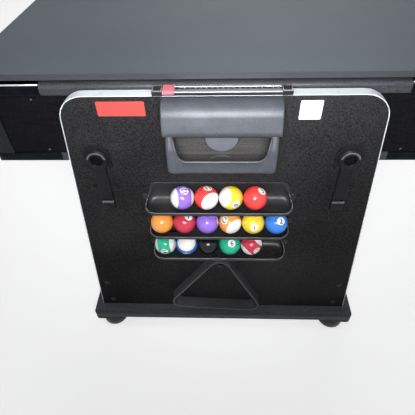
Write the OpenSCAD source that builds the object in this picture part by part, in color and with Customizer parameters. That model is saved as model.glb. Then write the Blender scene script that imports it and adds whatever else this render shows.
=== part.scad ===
// A multi-game table: a two-sided play body turns between two end panels, under a loose top.
// X runs across the table, Y along it and Z up, from the middle of the floor under it.
// The end with the ball racks is the front and lies at -Y.

/* [Table] */
// Length over the outer faces of the two end panels
panel_span = 1832; // [1600:1:2200]
// Depth below the end panels' top edges of the axis that the play body turns on
axis_drop = 81; // [76:0.5:100]
// Gap between an end panel and the play body
end_gap = 9; // [8:0.5:14]

/* [Play body] */
// Width of the play body
body_w = 970; // [900:1:1000]
// Depth of the play body over both rails
body_t = 180; // [172:1:196]
// Thickness of a rail
rail_t = 24; // [20:1:27]
// Width of a rail, seen from above
rail_w = 90; // [84:1:100]
// Radius of a rail's outer edges
rail_nose_r = 10; // [3:0.5:11]
// Thickness of the side aprons
side_apron_t = 15; // [12:1:20]
// Thickness of the end aprons
end_apron_t = 18; // [15:1:22]
// How far the aprons stand back from the rails' outer edges
apron_inset = 4; // [3.5:0.5:6]
// Thickness of the joists between the two beds
joist_t = 18; // [12:1:25]

/* [Pool side] */
// Depth of the pool bed below the rail tops
pool_depth = 38.5; // [35:0.5:44]
// Thickness of the pool bed
pool_bed_t = 15; // [12:1:20]
// Width of the wooden strip under a pool rail
pool_strip_w = 20; // [12:1:28]
// Radius of the pockets
pocket_r = 46; // [42:0.5:48]
// How far a corner pocket's centre lies outside the rails' inner faces
corner_pocket_out = 8; // [4:0.5:12]
// How far a side pocket's centre lies outside the rail's inner face
side_pocket_out = 15; // [8:0.5:17]
// Depth of the pocket cups below the pool bed's surface
cup_depth = 88; // [60:1:95]
// Wall of the pocket cups
cup_wall = 3; // [2:0.5:4]
// How far a cushion stands in from its rail
cushion_w = 30; // [24:1:36]
// Height of a cushion's nose above the pool bed
cushion_nose = 33; // [30:0.5:34]

/* [Hockey side] */
// Depth of the hockey bed below the rail faces
hockey_depth = 32; // [28:0.5:40]
// Thickness of the hockey bed
hockey_bed_t = 12; // [9:1:18]
// Width of the wooden strip under a hockey rail
hockey_strip_w = 12; // [8:1:20]
// Width of a goal
goal_w = 300; // [220:1:340]
// Height of a goal's slot above the hockey bed
goal_h = 16; // [12:0.5:20]
// Depth of a goal box, seen from above
goal_box_d = 44; // [36:1:46]
// Depth of a goal box below the hockey bed's surface
goal_box_h = 40; // [20:1:50]
// Wall of the goal boxes
goal_wall = 2.5; // [2:0.5:4]
// Radius of the hockey side's inner corners
hockey_corner_r = 60; // [30:1:100]
// Radius of the blower's housing
blower_r = 38; // [30:0.5:39]
// Length of the blower
blower_l = 60; // [40:1:90]
// Distance of the blower from the middle of the table
blower_y = 405; // [350:1:450]

/* [Corners] */
// Length of a corner casting's arms
casting_arm = 145; // [140:1:160]
// Radius of a corner casting's outer corner
casting_r = 15; // [10:1:60]
// Width of a corner post's arms
post_arm = 44; // [24:1:60]
// Radius of a corner post's outer corner
post_r = 9; // [2:0.5:10]

/* [End panels] */
// Thickness of an end panel
panel_t = 22; // [20:1:24]
// Height of an end panel's top edge above the floor
panel_top = 771.5; // [766:0.5:776]
// Width of an end panel's top edge, before its corners are rounded
panel_top_w = 595; // [575:1:640]
// Width of an end panel at the plinth
panel_bottom_w = 716; // [700:1:740]
// Radius of an end panel's top corners
panel_corner_r = 50; // [30:1:70]
// Thickness of the edge trim
trim_t = 1.5; // [1:0.1:2.5]

/* [Base] */
// Width of a plinth board
plinth_w = 760; // [750:1:820]
// Depth of a plinth board
plinth_d = 92; // [84:1:120]
// Thickness of a plinth board
plinth_t = 19; // [15:1:22]
// Height of a plinth board's upper face above the floor
plinth_top = 84; // [80:1:90]
// Radius of a plinth board's corners
plinth_corner_r = 12; // [4:1:20]
// Length of the moulded shoe under each end of a plinth board
shoe_l = 90; // [86:1:120]
// Thickness of a shoe
shoe_t = 10; // [6:0.5:14]
// Radius of a levelling foot
foot_r = 37.5; // [28:0.5:42]
// Distance of a foot from the middle of the plinth
foot_x = 337; // [300:1:345]
// Radius of a foot's stem
stem_r = 5; // [4:0.5:8]
// Distance of a stretcher from the middle of the table
stretcher_x = 324; // [280:1:330]
// Thickness of a stretcher
stretcher_t = 22; // [18:1:30]
// Height of a stretcher
stretcher_h = 136; // [110:1:150]
// Distance of the stretcher bolts from its long edges
bolt_inset = 24; // [16:1:30]
// Radius of a bolt head
bolt_head_r = 7; // [5:0.5:9]

/* [Pivots] */
// Radius of a pivot spindle
spindle_r = 20; // [15:0.5:22]
// Radius of the spindle's end disc
disc_r = 31.5; // [30.5:0.5:36]
// Thickness of the end disc
disc_t = 6; // [4:0.5:8]
// Clearance between the spindle's inner flange and the pool bed
flange_gap = 2.5; // [0.5:0.5:6]
// Wall of a pivot bearing
bearing_wall = 8; // [5:0.5:10]

/* [Hood] */
// Width of the hood's upper cover
hood_w = 216; // [208:1:230]
// Width of the hood's lower frame
hood_frame_w = 209; // [198:1:210]
// How far the hood's lip stands out from the panel
hood_proud = 47; // [44:0.5:60]
// How far the upper cover stands out from the panel at its lower edge
cover_proud = 44; // [40:0.5:56]
// Radius of the upper cover's shoulder
shoulder_r = 28; // [15:1:32]
// Height of the upper cover
cover_h = 58.2; // [52:0.1:62]
// Height of the whole hood
hood_h = 142.7; // [138:0.1:150]
// Wall of the hood
hood_wall = 4; // [3:0.5:5]
// Width of the hollow behind the window
hood_inner_w = 180; // [176:0.5:190]
// Width of the window at its top
window_top_w = 179; // [160:1:179]
// Width of the window at its bottom
window_bottom_w = 159; // [130:1:168]
// Height of the window's lower edge above the hood's lower face
window_sill = 35; // [30:0.5:38]
// Height of the hollow's floor above the hood's lower face
hood_floor = 19; // [8:0.5:24]
// Radius of the round recess in the hollow's floor
recess_r = 27; // [15:0.5:28]
// Height of the window
window_h = 44.5; // [30:0.5:47]

/* [Score rail] */
// Length of the score rail
score_w = 248; // [235:1:300]
// Height of the score rail above the panel's trim
score_h = 7; // [6:0.5:11]
// Depth of the score rail, front to back
score_d = 22; // [20:0.5:26]
// How far the score rail stands out from the panel's outer face
score_lap = 1.5; // [1:0.5:4]
// Length of an end cap
cap_w = 18.5; // [12:0.5:24]
// Width of the score slider
slider_w = 21.5; // [14:0.5:30]
// Thickness of the score slider
slider_t = 2; // [1.5:0.5:3]

/* [Rotation locks] */
// Distance of a lock from the middle of the panel
lock_x = 253; // [235:1:262]
// Distance of a lock below the turning axis
lock_drop = 55.5; // [50:0.5:57]
// Radius of a lock pin
pin_r = 8; // [6:0.5:9]
// Radius of a lock knob
knob_r = 12.3; // [11:0.1:14]
// Travel of a lock pin
pin_travel = 20; // [18:0.5:24]
// Radius of a lock housing's dome
dome_r = 25; // [23:0.5:30]
// Height of a lock housing's dome
dome_h = 10; // [9:0.5:20]
// Length of a lock housing's strap below the dome
strap_l = 140; // [100:1:150]
// Width of a lock housing's strap
strap_w = 27; // [20:1:34]

/* [Balls and racks] */
// Diameter of a ball
ball_d = 50.8; // [48:0.1:50.8]
// Part of the panel's free height that lies between the hood and the balls
above_racks = 0.429; // [0.3:0.001:0.6]
// Part of the panel's free height that lies between the racks and the triangle
below_racks = 0.302; // [0.2:0.001:0.35]
// Height from one rack to the next
rack_pitch = 75.5; // [75:0.5:82]
// Places in a rack
rack_places = 6; // [6:1:6]
// How far the racks lie to the left of the panel's middle
rack_left = 6.5; // [0:0.5:20]
// How far a rack stands out from the panel
rack_d = 62; // [60:0.5:64]
// Wall of a rack
rack_wall = 3; // [2:0.5:3]
// Radius of a rack's front corners, seen from above
rack_corner_r = 26; // [14:1:28]
// Height of a rack's lip above its floor
rack_lip = 11; // [8:0.5:11.5]
// Height of a rack's back above the balls' middle
rack_back = 20; // [10:0.5:26]

/* [Triangle] */
// Side of the triangle, before its corners are rounded
triangle_side = 284; // [270:1:310]
// Radius of the triangle's corners
triangle_r = 28; // [16:1:34]
// Wall of the triangle
triangle_wall = 5; // [4:0.5:9]
// Depth of the triangle
triangle_d = 33; // [20:1:40]
// How far the peg lies to the left of the panel's middle
peg_left = 4; // [0:0.5:15]
// Radius of the peg
peg_r = 5; // [4:0.5:7]
// Tilt of the triangle on its peg
triangle_tilt = 4; // [0:0.5:6]

/* [Loose top] */
// Thickness of the loose top
top_t = 12; // [9:1:18]
// Gap between the rails and the loose top, which its pads fill
top_gap = 7.5; // [5:0.5:12]
// Radius of the loose top's corners
top_corner_r = 14; // [5:1:40]
// Radius of the pads
pad_r = 9; // [6:0.5:9]
// Distance of the pads from the top's long edges
pad_edge = 20; // [12:1:60]
// Distance of the pads from the ends of a top half
pad_inset = 60; // [20:1:120]

/* [Hidden] */
$fn = 48;
fit = 0.05;          // running clearance round a shaft
seat = 0.3;          // clearance that a loose piece lies with
arc_steps = 7;       // straight steps in a round corner
body_l = panel_span - 2 * panel_t - 2 * end_gap;
half_l = body_l / 2;
half_w = body_w / 2;
half_t = body_t / 2;
axis_z = panel_top - axis_drop;
rail_low = half_t - rail_t;
pool_z = half_t - pool_depth;
hockey_z = half_t - hockey_depth;
apron_x = half_w - apron_inset - side_apron_t;
apron_y = half_l - apron_inset - end_apron_t;
inner_x = half_w - rail_w;
inner_y = half_l - rail_w;
chamber_top = pool_z - pool_bed_t;
chamber_low = -hockey_z + hockey_bed_t;
chamber_mid = (chamber_top + chamber_low) / 2;
pocket_x = inner_x + corner_pocket_out;
pocket_y = inner_y + corner_pocket_out;
side_pocket_x = inner_x + side_pocket_out;
bed_clear = 0.3;     // gap round a cup in the pool bed
goal_y = inner_y + hockey_strip_w + 1;
joist_at = [250, 560];
apron_face = panel_t + end_gap + apron_inset;
bearing_r = spindle_r + bearing_wall;
bearing_flange_r = disc_r + 3;
bearing_flange_t = 3;
disc_gap = 0.5;
collar_t = apron_face - panel_t - 3;
flange_r = chamber_top - flange_gap;
lock_z = axis_z - lock_drop;
knob_t = 4;
knob_face = dome_h - 1;
pin_hole_r = pin_r + 0.5;
pocket_for_knob = knob_t + pin_travel - knob_face + 0.5;
panel_low = plinth_top;
trim_top = panel_top + trim_t;
score_top = trim_top + score_h;
slider_low = trim_top + score_h / 2;
cover_top = panel_top - trim_t - seat;
cover_bottom = cover_top - cover_h;
hood_bottom = cover_top - hood_h;
window_bottom = hood_bottom + window_sill;
floor_low = hood_bottom + hood_floor;
cover_lean = 10;
lip_r = 12;
ball_r = ball_d / 2;
rack_back_t = 3;
ball_u = rack_back_t + seat + ball_r;
rack_inner_w = rack_places * ball_d + (rack_places + 1) * seat;
rack_w = rack_inner_w + 2 * rack_wall;
rack_front = rack_d - rack_wall;
rack_stack = 2 * rack_pitch + ball_d + seat + rack_wall;
triangle_h = triangle_side * sin(60);
hung_h = (triangle_h - 3 * triangle_r) * cos(triangle_tilt)
    + (triangle_side / 2 - sqrt(3) * triangle_r) * sin(triangle_tilt) + 2 * triangle_r;
free_h = hood_bottom - plinth_top - rack_stack - hung_h;
upper_ball_z = hood_bottom - above_racks * free_h - ball_r;
racks_low = upper_ball_z - rack_stack + ball_r;
peg_z = racks_low - below_racks * free_h - triangle_wall - seat - peg_r;
plinth_mid = panel_t / 2;
shoe_top = plinth_top - plinth_t - seat;
stem_top = plinth_top - 4;
foot_nut_r = 9;
foot_nut_h = 10;
foot_pad_h = 14;
stretcher_low = plinth_top;
peg_flange_t = 3;
top_low = axis_z + half_t + top_gap;
slider_stop = score_w / 2 - cap_w - slider_w / 2 - seat;

// Name, rack counted from the top, place counted from the left, and colour of each ball
balls = [
    ["ball_12", 0, 1, "mediumpurple"],
    ["ball_11", 0, 2, "firebrick"],
    ["ball_09", 0, 3, "gold"],
    ["ball_03", 0, 4, "red"],
    ["ball_05", 1, 0, "orange"],
    ["ball_07", 1, 1, "maroon"],
    ["ball_04", 1, 2, "purple"],
    ["ball_13", 1, 3, "darkorange"],
    ["ball_01", 1, 4, "yellow"],
    ["ball_02", 1, 5, "royalblue"],
    ["ball_14", 2, 0, "mediumseagreen"],
    ["ball_10", 2, 1, "navy"],
    ["ball_08", 2, 2, "black"],
    ["ball_06", 2, 3, "green"],
    ["ball_15", 2, 4, "brown"]
];

// Points of a round corner of radius r at p, between its neighbours a and b
function round_corner(a, p, b, r) =
    let (
        u = (a - p) / norm(a - p),
        v = (b - p) / norm(b - p),
        half = acos(u * v) / 2,
        middle = p + (u + v) / norm(u + v) * r / sin(half),
        start = p + u * r / tan(half) - middle,
        end = p + v * r / tan(half) - middle,
        turn = (180 - 2 * half) * sign(cross(start, end))
    )
    [for (i = [0:arc_steps]) let (t = turn * i / arc_steps)
        middle + [start.x * cos(t) - start.y * sin(t), start.x * sin(t) + start.y * cos(t)]];

// Outline with its own radius at each point, and a sharp corner where that is 0
function rounded(points, radii) =
    let (n = len(points))
    [for (i = [0:n - 1]) each radii[i] == 0 ? [points[i]] :
        round_corner(points[(i + n - 1) % n], points[i], points[(i + 1) % n], radii[i])];

// Points on an ellipse round c with half-axes a and b, from one angle to another
function ellipse(c, a, b, from, to, steps = 12) =
    [for (i = [0:steps]) let (t = from + (to - from) * i / steps) c + [a * cos(t), b * sin(t)]];

function box_points(x0, y0, x1, y1) = [[x0, y0], [x1, y0], [x1, y1], [x0, y1]];

// Carries a (y, z) outline along X, centred
module along_x(length) {
    rotate([90, 0, 90])
        linear_extrude(length, center = true)
            children();
}

// Stands an (x, z) outline up from y0 to y1
module along_y(y0, y1) {
    translate([0, y1, 0])
        rotate([90, 0, 0])
            linear_extrude(y1 - y0)
                children();
}

// A cylinder along Y from y0 to y1
module rod_y(r, y0, y1) {
    translate([0, y0, 0])
        rotate([-90, 0, 0])
            cylinder(r = r, h = y1 - y0);
}

// Puts a piece on the front panel: y = 0 is the panel's outer face and -Y points out
module at_front() {
    translate([0, -panel_span / 2, 0])
        children();
}

module at_back() {
    rotate([0, 0, 180])
        at_front()
            children();
}

module at_both_ends() {
    at_front() children();
    at_back() children();
}

// Puts a piece on the play body: z = 0 is the turning axis
module on_body() {
    translate([0, 0, axis_z])
        children();
}

module left_and_right() {
    children();
    mirror([1, 0, 0])
        children();
}

module four_corners() {
    left_and_right() {
        children();
        mirror([0, 1, 0])
            children();
    }
}

function panel_half_w(z) =
    (panel_bottom_w + (panel_top_w - panel_bottom_w) * (z - panel_low) / (panel_top - panel_low)) / 2;

// Outline of an end panel, grown by g all round but for its foot
function panel_outline(g) =
    let (
        lean = atan((panel_bottom_w - panel_top_w) / 2 / (panel_top - panel_low)),
        low = panel_half_w(panel_low) + g / cos(lean),
        high = panel_half_w(panel_top + g) + g / cos(lean)
    )
    rounded(
        [[-low, panel_low], [low, panel_low], [high, panel_top + g], [-high, panel_top + g]],
        [0, 0, panel_corner_r + g, panel_corner_r + g]);

module end_panel() {
    difference() {
        along_y(0, panel_t)
            polygon(panel_outline(0));
        translate([0, 0, axis_z])
            rod_y(bearing_r, -1, panel_t + 1);
        left_and_right()
            translate([lock_x, 0, lock_z]) {
                rod_y(pin_r + fit, -1, panel_t + 1);
                rod_y(knob_r + seat, -1, pocket_for_knob);
            }
    }
}

module front_end_panel() {
    color("#1c1c1f") at_front() end_panel();
}

module back_end_panel() {
    color("#1c1c1f") at_back() end_panel();
}

module edge_trims() {
    color("silver")
        at_both_ends()
            along_y(0, panel_t)
                difference() {
                    polygon(panel_outline(trim_t));
                    polygon(panel_outline(0));
                }
}

// A plinth board and the moulded shoes under its ends, drilled for the stems of its feet
module plinth() {
    half = [plinth_w / 2, plinth_d / 2];
    shoe_corner_r = 5;
    difference() {
        translate([0, plinth_mid, 0]) {
            translate([0, 0, plinth_top - plinth_t])
                linear_extrude(plinth_t)
                    polygon(rounded(
                        box_points(-half.x, -half.y, half.x, half.y),
                        [for (i = [0:3]) plinth_corner_r]));
            left_and_right()
                translate([0, 0, shoe_top - shoe_t])
                    linear_extrude(shoe_t)
                        polygon(rounded(
                            box_points(half.x - shoe_l, -half.y, half.x, half.y),
                            [shoe_corner_r, plinth_corner_r, plinth_corner_r, shoe_corner_r]));
        }
        left_and_right()
            translate([foot_x, plinth_mid, shoe_top - shoe_t - 1])
                cylinder(r = stem_r + fit, h = stem_top + seat - shoe_top + shoe_t + 1);
    }
}

module front_plinth() {
    color("#151517") at_front() plinth();
}

module back_plinth() {
    color("#151517") at_back() plinth();
}

module stretchers() {
    inside = panel_span - 2 * panel_t;
    color("#202024")
        left_and_right()
            translate([stretcher_x, 0, stretcher_low])
                rotate([90, 0, 0])
                    linear_extrude(inside, center = true)
                        polygon(rounded(
                            box_points(-stretcher_t / 2, 0, stretcher_t / 2, stretcher_h),
                            [0, 0, 3, 3]));
}

// Flanged bush in the panel, with its flange behind the spindle's end disc
module bearing() {
    translate([0, 0, axis_z])
        difference() {
            union() {
                rod_y(bearing_r, -1, panel_t + 1);
                rod_y(bearing_flange_r, -bearing_flange_t, 0);
                rod_y(bearing_flange_r, panel_t, panel_t + bearing_flange_t - disc_gap);
            }
            rod_y(spindle_r + fit, -bearing_flange_t - 1, panel_t + bearing_flange_t + 1);
        }
}

module pivot_bearings() {
    color("dimgray") at_both_ends() bearing();
}

// Side view of the hood's upper cover: a flat top, a round shoulder and a face that leans out.
// shrink draws the hollow behind the wall.
function cover_outline(shrink) =
    let (middle_u = cover_proud - shoulder_r - 6)
    concat(
        [[0, cover_bottom - shrink], [-cover_proud + shrink, cover_bottom - shrink]],
        [for (p = ellipse([middle_u, cover_top - shoulder_r],
                shoulder_r - shrink, shoulder_r - shrink, cover_lean, 90)) [-p.x, p.y]],
        [[0, cover_top - shrink]]);

// Side view of the lower frame, which leans out to a rolled lip
function frame_outline(shrink) = concat(
    [[0, cover_bottom + 1], [-cover_proud + 3 + shrink, cover_bottom + 1],
        [-hood_proud + 2 + shrink, window_bottom + 22]],
    [for (p = ellipse([hood_proud - lip_r, hood_bottom + lip_r + shrink],
            lip_r - shrink, lip_r - min(shrink, lip_r - 3), 20, -90, 8)) [-p.x, p.y]],
    [[0, hood_bottom + shrink]]);

module hood_ears() {
    ear_z = [axis_z + 1, cover_top - 31];
    for (z = ear_z)
        left_and_right()
            translate([hood_w / 2 - 6, 0, z])
                difference() {
                    along_y(-hood_wall, 0)
                        polygon(rounded(box_points(0, -7, 14, 7), [0, 6, 6, 0]));
                    translate([9.5, 0, 0])
                        rod_y(2.2, -hood_wall - 1, 1);
                }
}

module hood() {
    window_half = [window_bottom_w / 2, window_top_w / 2];
    window_top = window_bottom + window_h;
    hollow_front = hood_proud - hood_wall - 3;
    recess_deep = 2;
    difference() {
        union() {
            along_x(hood_w)
                polygon(cover_outline(0));
            along_x(hood_frame_w)
                polygon(frame_outline(0));
            hood_ears();
        }
        along_x(hood_w - 2 * hood_wall)
            polygon(concat([[1, cover_bottom + hood_wall]], [for (p = cover_outline(hood_wall))
                [p.x == 0 ? 1 : p.x, max(p.y, cover_bottom + hood_wall)]]));
        along_x(hood_inner_w)
            polygon([for (p = frame_outline(hood_wall + 3))
                [p.x == 0 ? 1 : p.x, p.y > cover_bottom ? p.y + hood_wall : max(p.y, floor_low)]]);
        intersection() {
            translate([0, -recess_r - 5, floor_low - recess_deep])
                cylinder(r = recess_r, h = recess_deep + 1);
            translate([-recess_r, -hollow_front + 1, floor_low - recess_deep])
                cube([2 * recess_r, hollow_front, recess_deep + 1]);
        }
        along_y(-hood_proud - 1, -hood_proud / 2)
            polygon(rounded(
                [[-window_half[0], window_bottom], [window_half[0], window_bottom],
                    [window_half[1], window_top], [-window_half[1], window_top]],
                [14, 14, 3, 3]));
    }
}

module front_hood() {
    color("#7d8598") at_front() hood();
}

module back_hood() {
    color("#7d8598") at_back() hood();
}

// Score rail on the panel's top edge: a grooved bar between two raised caps
module score_rail() {
    bar_w = score_w - 2 * cap_w;
    back = score_d - score_lap;
    groove = 1.2;
    scale_d = 8.5;
    cap_rise = 2;
    difference() {
        translate([-bar_w / 2, -score_lap, trim_top])
            cube([bar_w, score_d, score_h]);
        translate([-bar_w / 2 - 1, back - scale_d - 1.5, score_top - 0.8])
            cube([bar_w + 2, scale_d, 2]);
        for (y = [-score_lap - 1, back - groove])
            translate([-bar_w / 2 - 1, y, score_top - 3])
                cube([bar_w + 2, groove + 1, groove]);
    }
    left_and_right()
        difference() {
            translate([score_w / 2 - cap_w / 2, 0, 0])
                along_x(cap_w)
                    polygon(rounded(
                        box_points(-score_lap - 1, trim_top, back + 1, score_top + cap_rise),
                        [0, 0, 2, 2]));
            translate([score_w / 2 - cap_w + 4, back - score_d / 2 - 6, score_top + cap_rise - 1.2])
                cube([cap_w - 8, 12, 2]);
        }
}

module front_score_rail() {
    color("#3b3d42") at_front() score_rail();
}

module back_score_rail() {
    color("#3b3d42") at_back() score_rail();
}

// Slider that grips the score rail from above, resting against the left cap
module score_slider() {
    in_front = -score_lap - seat;
    behind = score_d - score_lap + seat;
    top = score_top + seat;
    translate([-slider_stop, 0, 0])
        along_x(slider_w)
            polygon([
                [in_front - slider_t, slider_low], [in_front, slider_low], [in_front, top],
                [behind, top], [behind, slider_low], [behind + slider_t, slider_low],
                [behind + slider_t, top + slider_t], [in_front - slider_t, top + slider_t]]);
}

module front_score_slider() {
    color("red") at_front() score_slider();
}

module back_score_slider() {
    color("red") at_back() score_slider();
}

// Lock housing: a flange, a low dome round the knob, and a raised strap that runs down the panel
module lock_housing() {
    flange_t = 3;
    flange_half = dome_r + 3;
    flange_low = -dome_r - 1;
    flange_high = dome_r + 7;
    strap_rise = 6;
    ledge_z = -strap_l + 25;
    ear_z = -0.57 * strap_l;
    rim_r = knob_r + 4;
    translate([lock_x, 0, lock_z])
        difference() {
            union() {
                along_y(-flange_t, 0)
                    polygon(rounded(
                        box_points(-flange_half, flange_low, flange_half, flange_high),
                        [5, 5, flange_half - 2, flange_half - 2]));
                rotate([90, 0, 0])
                    rotate_extrude()
                        polygon(concat(
                            [[0, 0]],
                            ellipse([rim_r, 0], dome_r - rim_r, dome_h, 0, 90, 8),
                            [[0, dome_h]]));
                along_y(-strap_rise, 0)
                    polygon(rounded(
                        box_points(-strap_w / 2, -strap_l, strap_w / 2, -dome_r + 4),
                        [3, 3, 0, 0]));
                along_y(-strap_rise - 3, 0)
                    polygon(rounded(
                        box_points(-strap_w / 2, ledge_z - 3, strap_w / 2, ledge_z + 3),
                        [1, 1, 1, 1]));
                along_y(-flange_t, 0)
                    polygon(rounded(
                        box_points(-flange_half, ear_z - 7, flange_half, ear_z + 7),
                        [5, 5, 5, 5]));
            }
            rod_y(knob_r + seat, -dome_h - 1, 1);
        }
}

module lock_housings() {
    color("#2b2c30")
        at_both_ends()
            left_and_right()
                lock_housing();
}

// Lock pin and its knob, drawn back out of the play body
module lock_pin(side) {
    translate([side * lock_x, 0, lock_z]) {
        rod_y(knob_r, -knob_face, -knob_face + knob_t);
        rod_y(pin_r, -knob_face + knob_t - 1, panel_t - 0.5);
    }
}

module front_left_lock_pin() {
    color("#18181a") at_front() lock_pin(-1);
}

module front_right_lock_pin() {
    color("#18181a") at_front() lock_pin(1);
}

module back_left_lock_pin() {
    color("#18181a") at_back() lock_pin(1);
}

module back_right_lock_pin() {
    color("#18181a") at_back() lock_pin(-1);
}

// A moulded rack: a hollow floor under the balls, a lip of even height and a back with round corners
module ball_rack(row) {
    z = upper_ball_z - row * rack_pitch;
    floor_z = z - ball_r - seat;
    low = floor_z - rack_wall;
    lip = floor_z + rack_lip;
    inner = rack_inner_w / 2;
    translate([-rack_left, 0, 0])
        difference() {
            intersection() {
                union() {
                    along_x(rack_w)
                        polygon(rounded(
                            [[0, lip], [0, low + 6], [-22, low], [-rack_d, low], [-rack_d, lip]],
                            [0, 0, 0, 12, 1]));
                    intersection() {
                        along_x(rack_w)
                            polygon(concat(
                                [[0, lip - 1], [-ball_u, lip - 1]],
                                [for (p = ellipse([ball_u, z + rack_back],
                                        ball_u - rack_back_t - 2, z + rack_back - lip, -90, -180, 8))
                                    [-p.x, p.y]],
                                [[0, z + rack_back]]));
                        along_y(-rack_d, 0)
                            polygon(rounded(
                                box_points(-rack_w / 2, lip - 1, rack_w / 2, z + rack_back),
                                [0, 0, 22, 22]));
                    }
                }
                translate([0, 0, low - 1])
                    linear_extrude(2 * ball_d)
                        polygon(rounded(
                            box_points(-rack_w / 2, -rack_d, rack_w / 2, 0),
                            [rack_corner_r, rack_corner_r, 0, 0]));
            }
            intersection() {
                along_x(rack_w)
                    polygon(concat(
                        [for (p = ellipse([ball_u, z], ball_r + seat, ball_r + seat, 180, 270, 10))
                            [-p.x, p.y]],
                        [[-ball_u - 12, floor_z + 0.8], [-rack_front + 7, floor_z + 4],
                            [-rack_front - 1, floor_z + 9], [-rack_front - 1, z + ball_d],
                            [-rack_back_t, z + ball_d]]));
                translate([0, 0, low - 1])
                    linear_extrude(2 * ball_d + 2)
                        polygon(rounded(
                            box_points(-inner, -rack_front, inner, -rack_back_t),
                            [rack_corner_r - rack_wall, rack_corner_r - rack_wall, ball_r - 1, ball_r - 1]));
            }
        }
    for (side = [-1, 1])
        translate([-rack_left + side * (rack_w / 2 + 4.5), 0, lip - 6])
            along_y(-4, 0)
                polygon(rounded(box_points(-5.5, -8, 5.5, 8), [3, 3, 3, 3]));
}

module upper_ball_rack() {
    color("#26272b") at_front() ball_rack(0);
}

module middle_ball_rack() {
    color("#26272b") at_front() ball_rack(1);
}

module lower_ball_rack() {
    color("#26272b") at_front() ball_rack(2);
}

// Peg with a flange on the panel
module triangle_peg() {
    color("#202024")
        at_front()
            translate([-peg_left, 0, peg_z]) {
                rod_y(peg_r, -triangle_d - 8, 0);
                rod_y(2.6 * peg_r, -peg_flange_t, 0);
            }
}

module bolt_head() {
    translate([0, -2, 0])
        difference() {
            rod_y(bolt_head_r, 0, 2);
            translate([0, -0.5, 0])
                rotate([-90, 0, 0])
                    cylinder(r = bolt_head_r * 0.45, h = 1.5, $fn = 6);
        }
}

module panel_bolts() {
    color("#45464a")
        at_both_ends()
            left_and_right()
                for (z = [stretcher_low + bolt_inset, stretcher_low + stretcher_h - bolt_inset])
                    translate([stretcher_x, 0, z])
                        bolt_head();
}

module side_aprons() {
    color("#111113")
        on_body()
            difference() {
                for (side = [-1, 1])
                    translate([side * (apron_x + side_apron_t / 2), 0, 0])
                        cube([side_apron_t, 2 * (apron_y + end_apron_t), 2 * rail_low], center = true);
                translate([apron_x - 1, blower_y, chamber_mid])
                    rotate([0, 90, 0])
                        cylinder(r = blower_r - 2, h = side_apron_t + 2);
            }
}

// End aprons with the spindle's hole and four holes for the lock pins, two for each side of play
module end_aprons() {
    color("#111113")
        on_body()
            for (turn = [0, 180])
                rotate([0, 0, turn])
                    difference() {
                        translate([-apron_x, apron_y, -rail_low])
                            cube([2 * apron_x, end_apron_t, 2 * rail_low]);
                        rod_y(spindle_r, apron_y - 1, apron_y + end_apron_t + 1);
                        for (x = [-lock_x, lock_x], z = [-lock_drop, lock_drop])
                            translate([x, 0, z])
                                rod_y(pin_hole_r, apron_y - 1, apron_y + end_apron_t + 1);
                    }
}

module bed_joists() {
    color("#8a6f4c")
        on_body()
            for (y = joist_at, side = [-1, 1])
                translate([-apron_x, side * y - joist_t / 2, chamber_low])
                    cube([2 * apron_x, joist_t, chamber_top - chamber_low]);
}

module pocket_places() {
    four_corners()
        translate([pocket_x, pocket_y, 0])
            children();
    left_and_right()
        translate([side_pocket_x, 0, 0])
            children();
}

module pool_bed() {
    color("#1f5f8f")
        on_body()
            difference() {
                translate([-apron_x, -apron_y, chamber_top])
                    cube([2 * apron_x, 2 * apron_y, pool_bed_t]);
                pocket_places()
                    translate([0, 0, chamber_top - 1])
                        cylinder(r = pocket_r + cup_wall + bed_clear, h = pool_bed_t + 2);
            }
}

module hockey_bed() {
    color("#e8ecf0")
        on_body()
            difference() {
                translate([-apron_x, -apron_y, -hockey_z])
                    cube([2 * apron_x, 2 * apron_y, hockey_bed_t]);
                for (turn = [0, 180])
                    rotate([0, 0, turn])
                        translate([-goal_w / 2 - goal_wall, goal_y, -hockey_z - 1])
                            cube([goal_w + 2 * goal_wall, goal_box_d, hockey_bed_t + 2]);
            }
}

// Cross-section of a rail: s runs in from its outer edge, and the strip under it reaches the bed
function rail_section(strip_w, bed) = rounded(
    [[0, rail_low], [rail_w - strip_w, rail_low], [rail_w - strip_w, bed], [rail_w, bed],
        [rail_w, half_t], [0, half_t]],
    [rail_nose_r / 3, 0, 0, 0, 1.5, rail_nose_r]);

// Two side rails and two end rails between the corner castings
module rails(strip_w, bed) {
    side_l = 2 * (half_l - casting_arm);
    end_l = 2 * (half_w - casting_arm);
    left_and_right()
        translate([half_w, 0, 0])
            rotate([0, 0, -90])
                along_x(side_l)
                    polygon([for (p = rail_section(strip_w, bed)) [-p.x, p.y]]);
    for (turn = [0, 180])
        rotate([0, 0, turn])
            translate([0, half_l, 0])
                along_x(end_l)
                    polygon([for (p = rail_section(strip_w, bed)) [-p.x, p.y]]);
}

module pool_rails() {
    color("#1a1b1e")
        on_body()
            difference() {
                rails(pool_strip_w, pool_z);
                left_and_right()
                    translate([side_pocket_x, 0, pool_z - 1])
                        cylinder(r = pocket_r, h = pool_depth + 2);
            }
}

module hockey_rails() {
    color("#1a1b1e")
        on_body()
            mirror([0, 0, 1])
                difference() {
                    rails(hockey_strip_w, hockey_z);
                    for (turn = [0, 180])
                        rotate([0, 0, turn])
                            translate([-goal_w / 2, inner_y - 1, hockey_z - 1])
                                cube([goal_w, goal_box_d + hockey_strip_w + 2, goal_h + 1]);
                }
}

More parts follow.
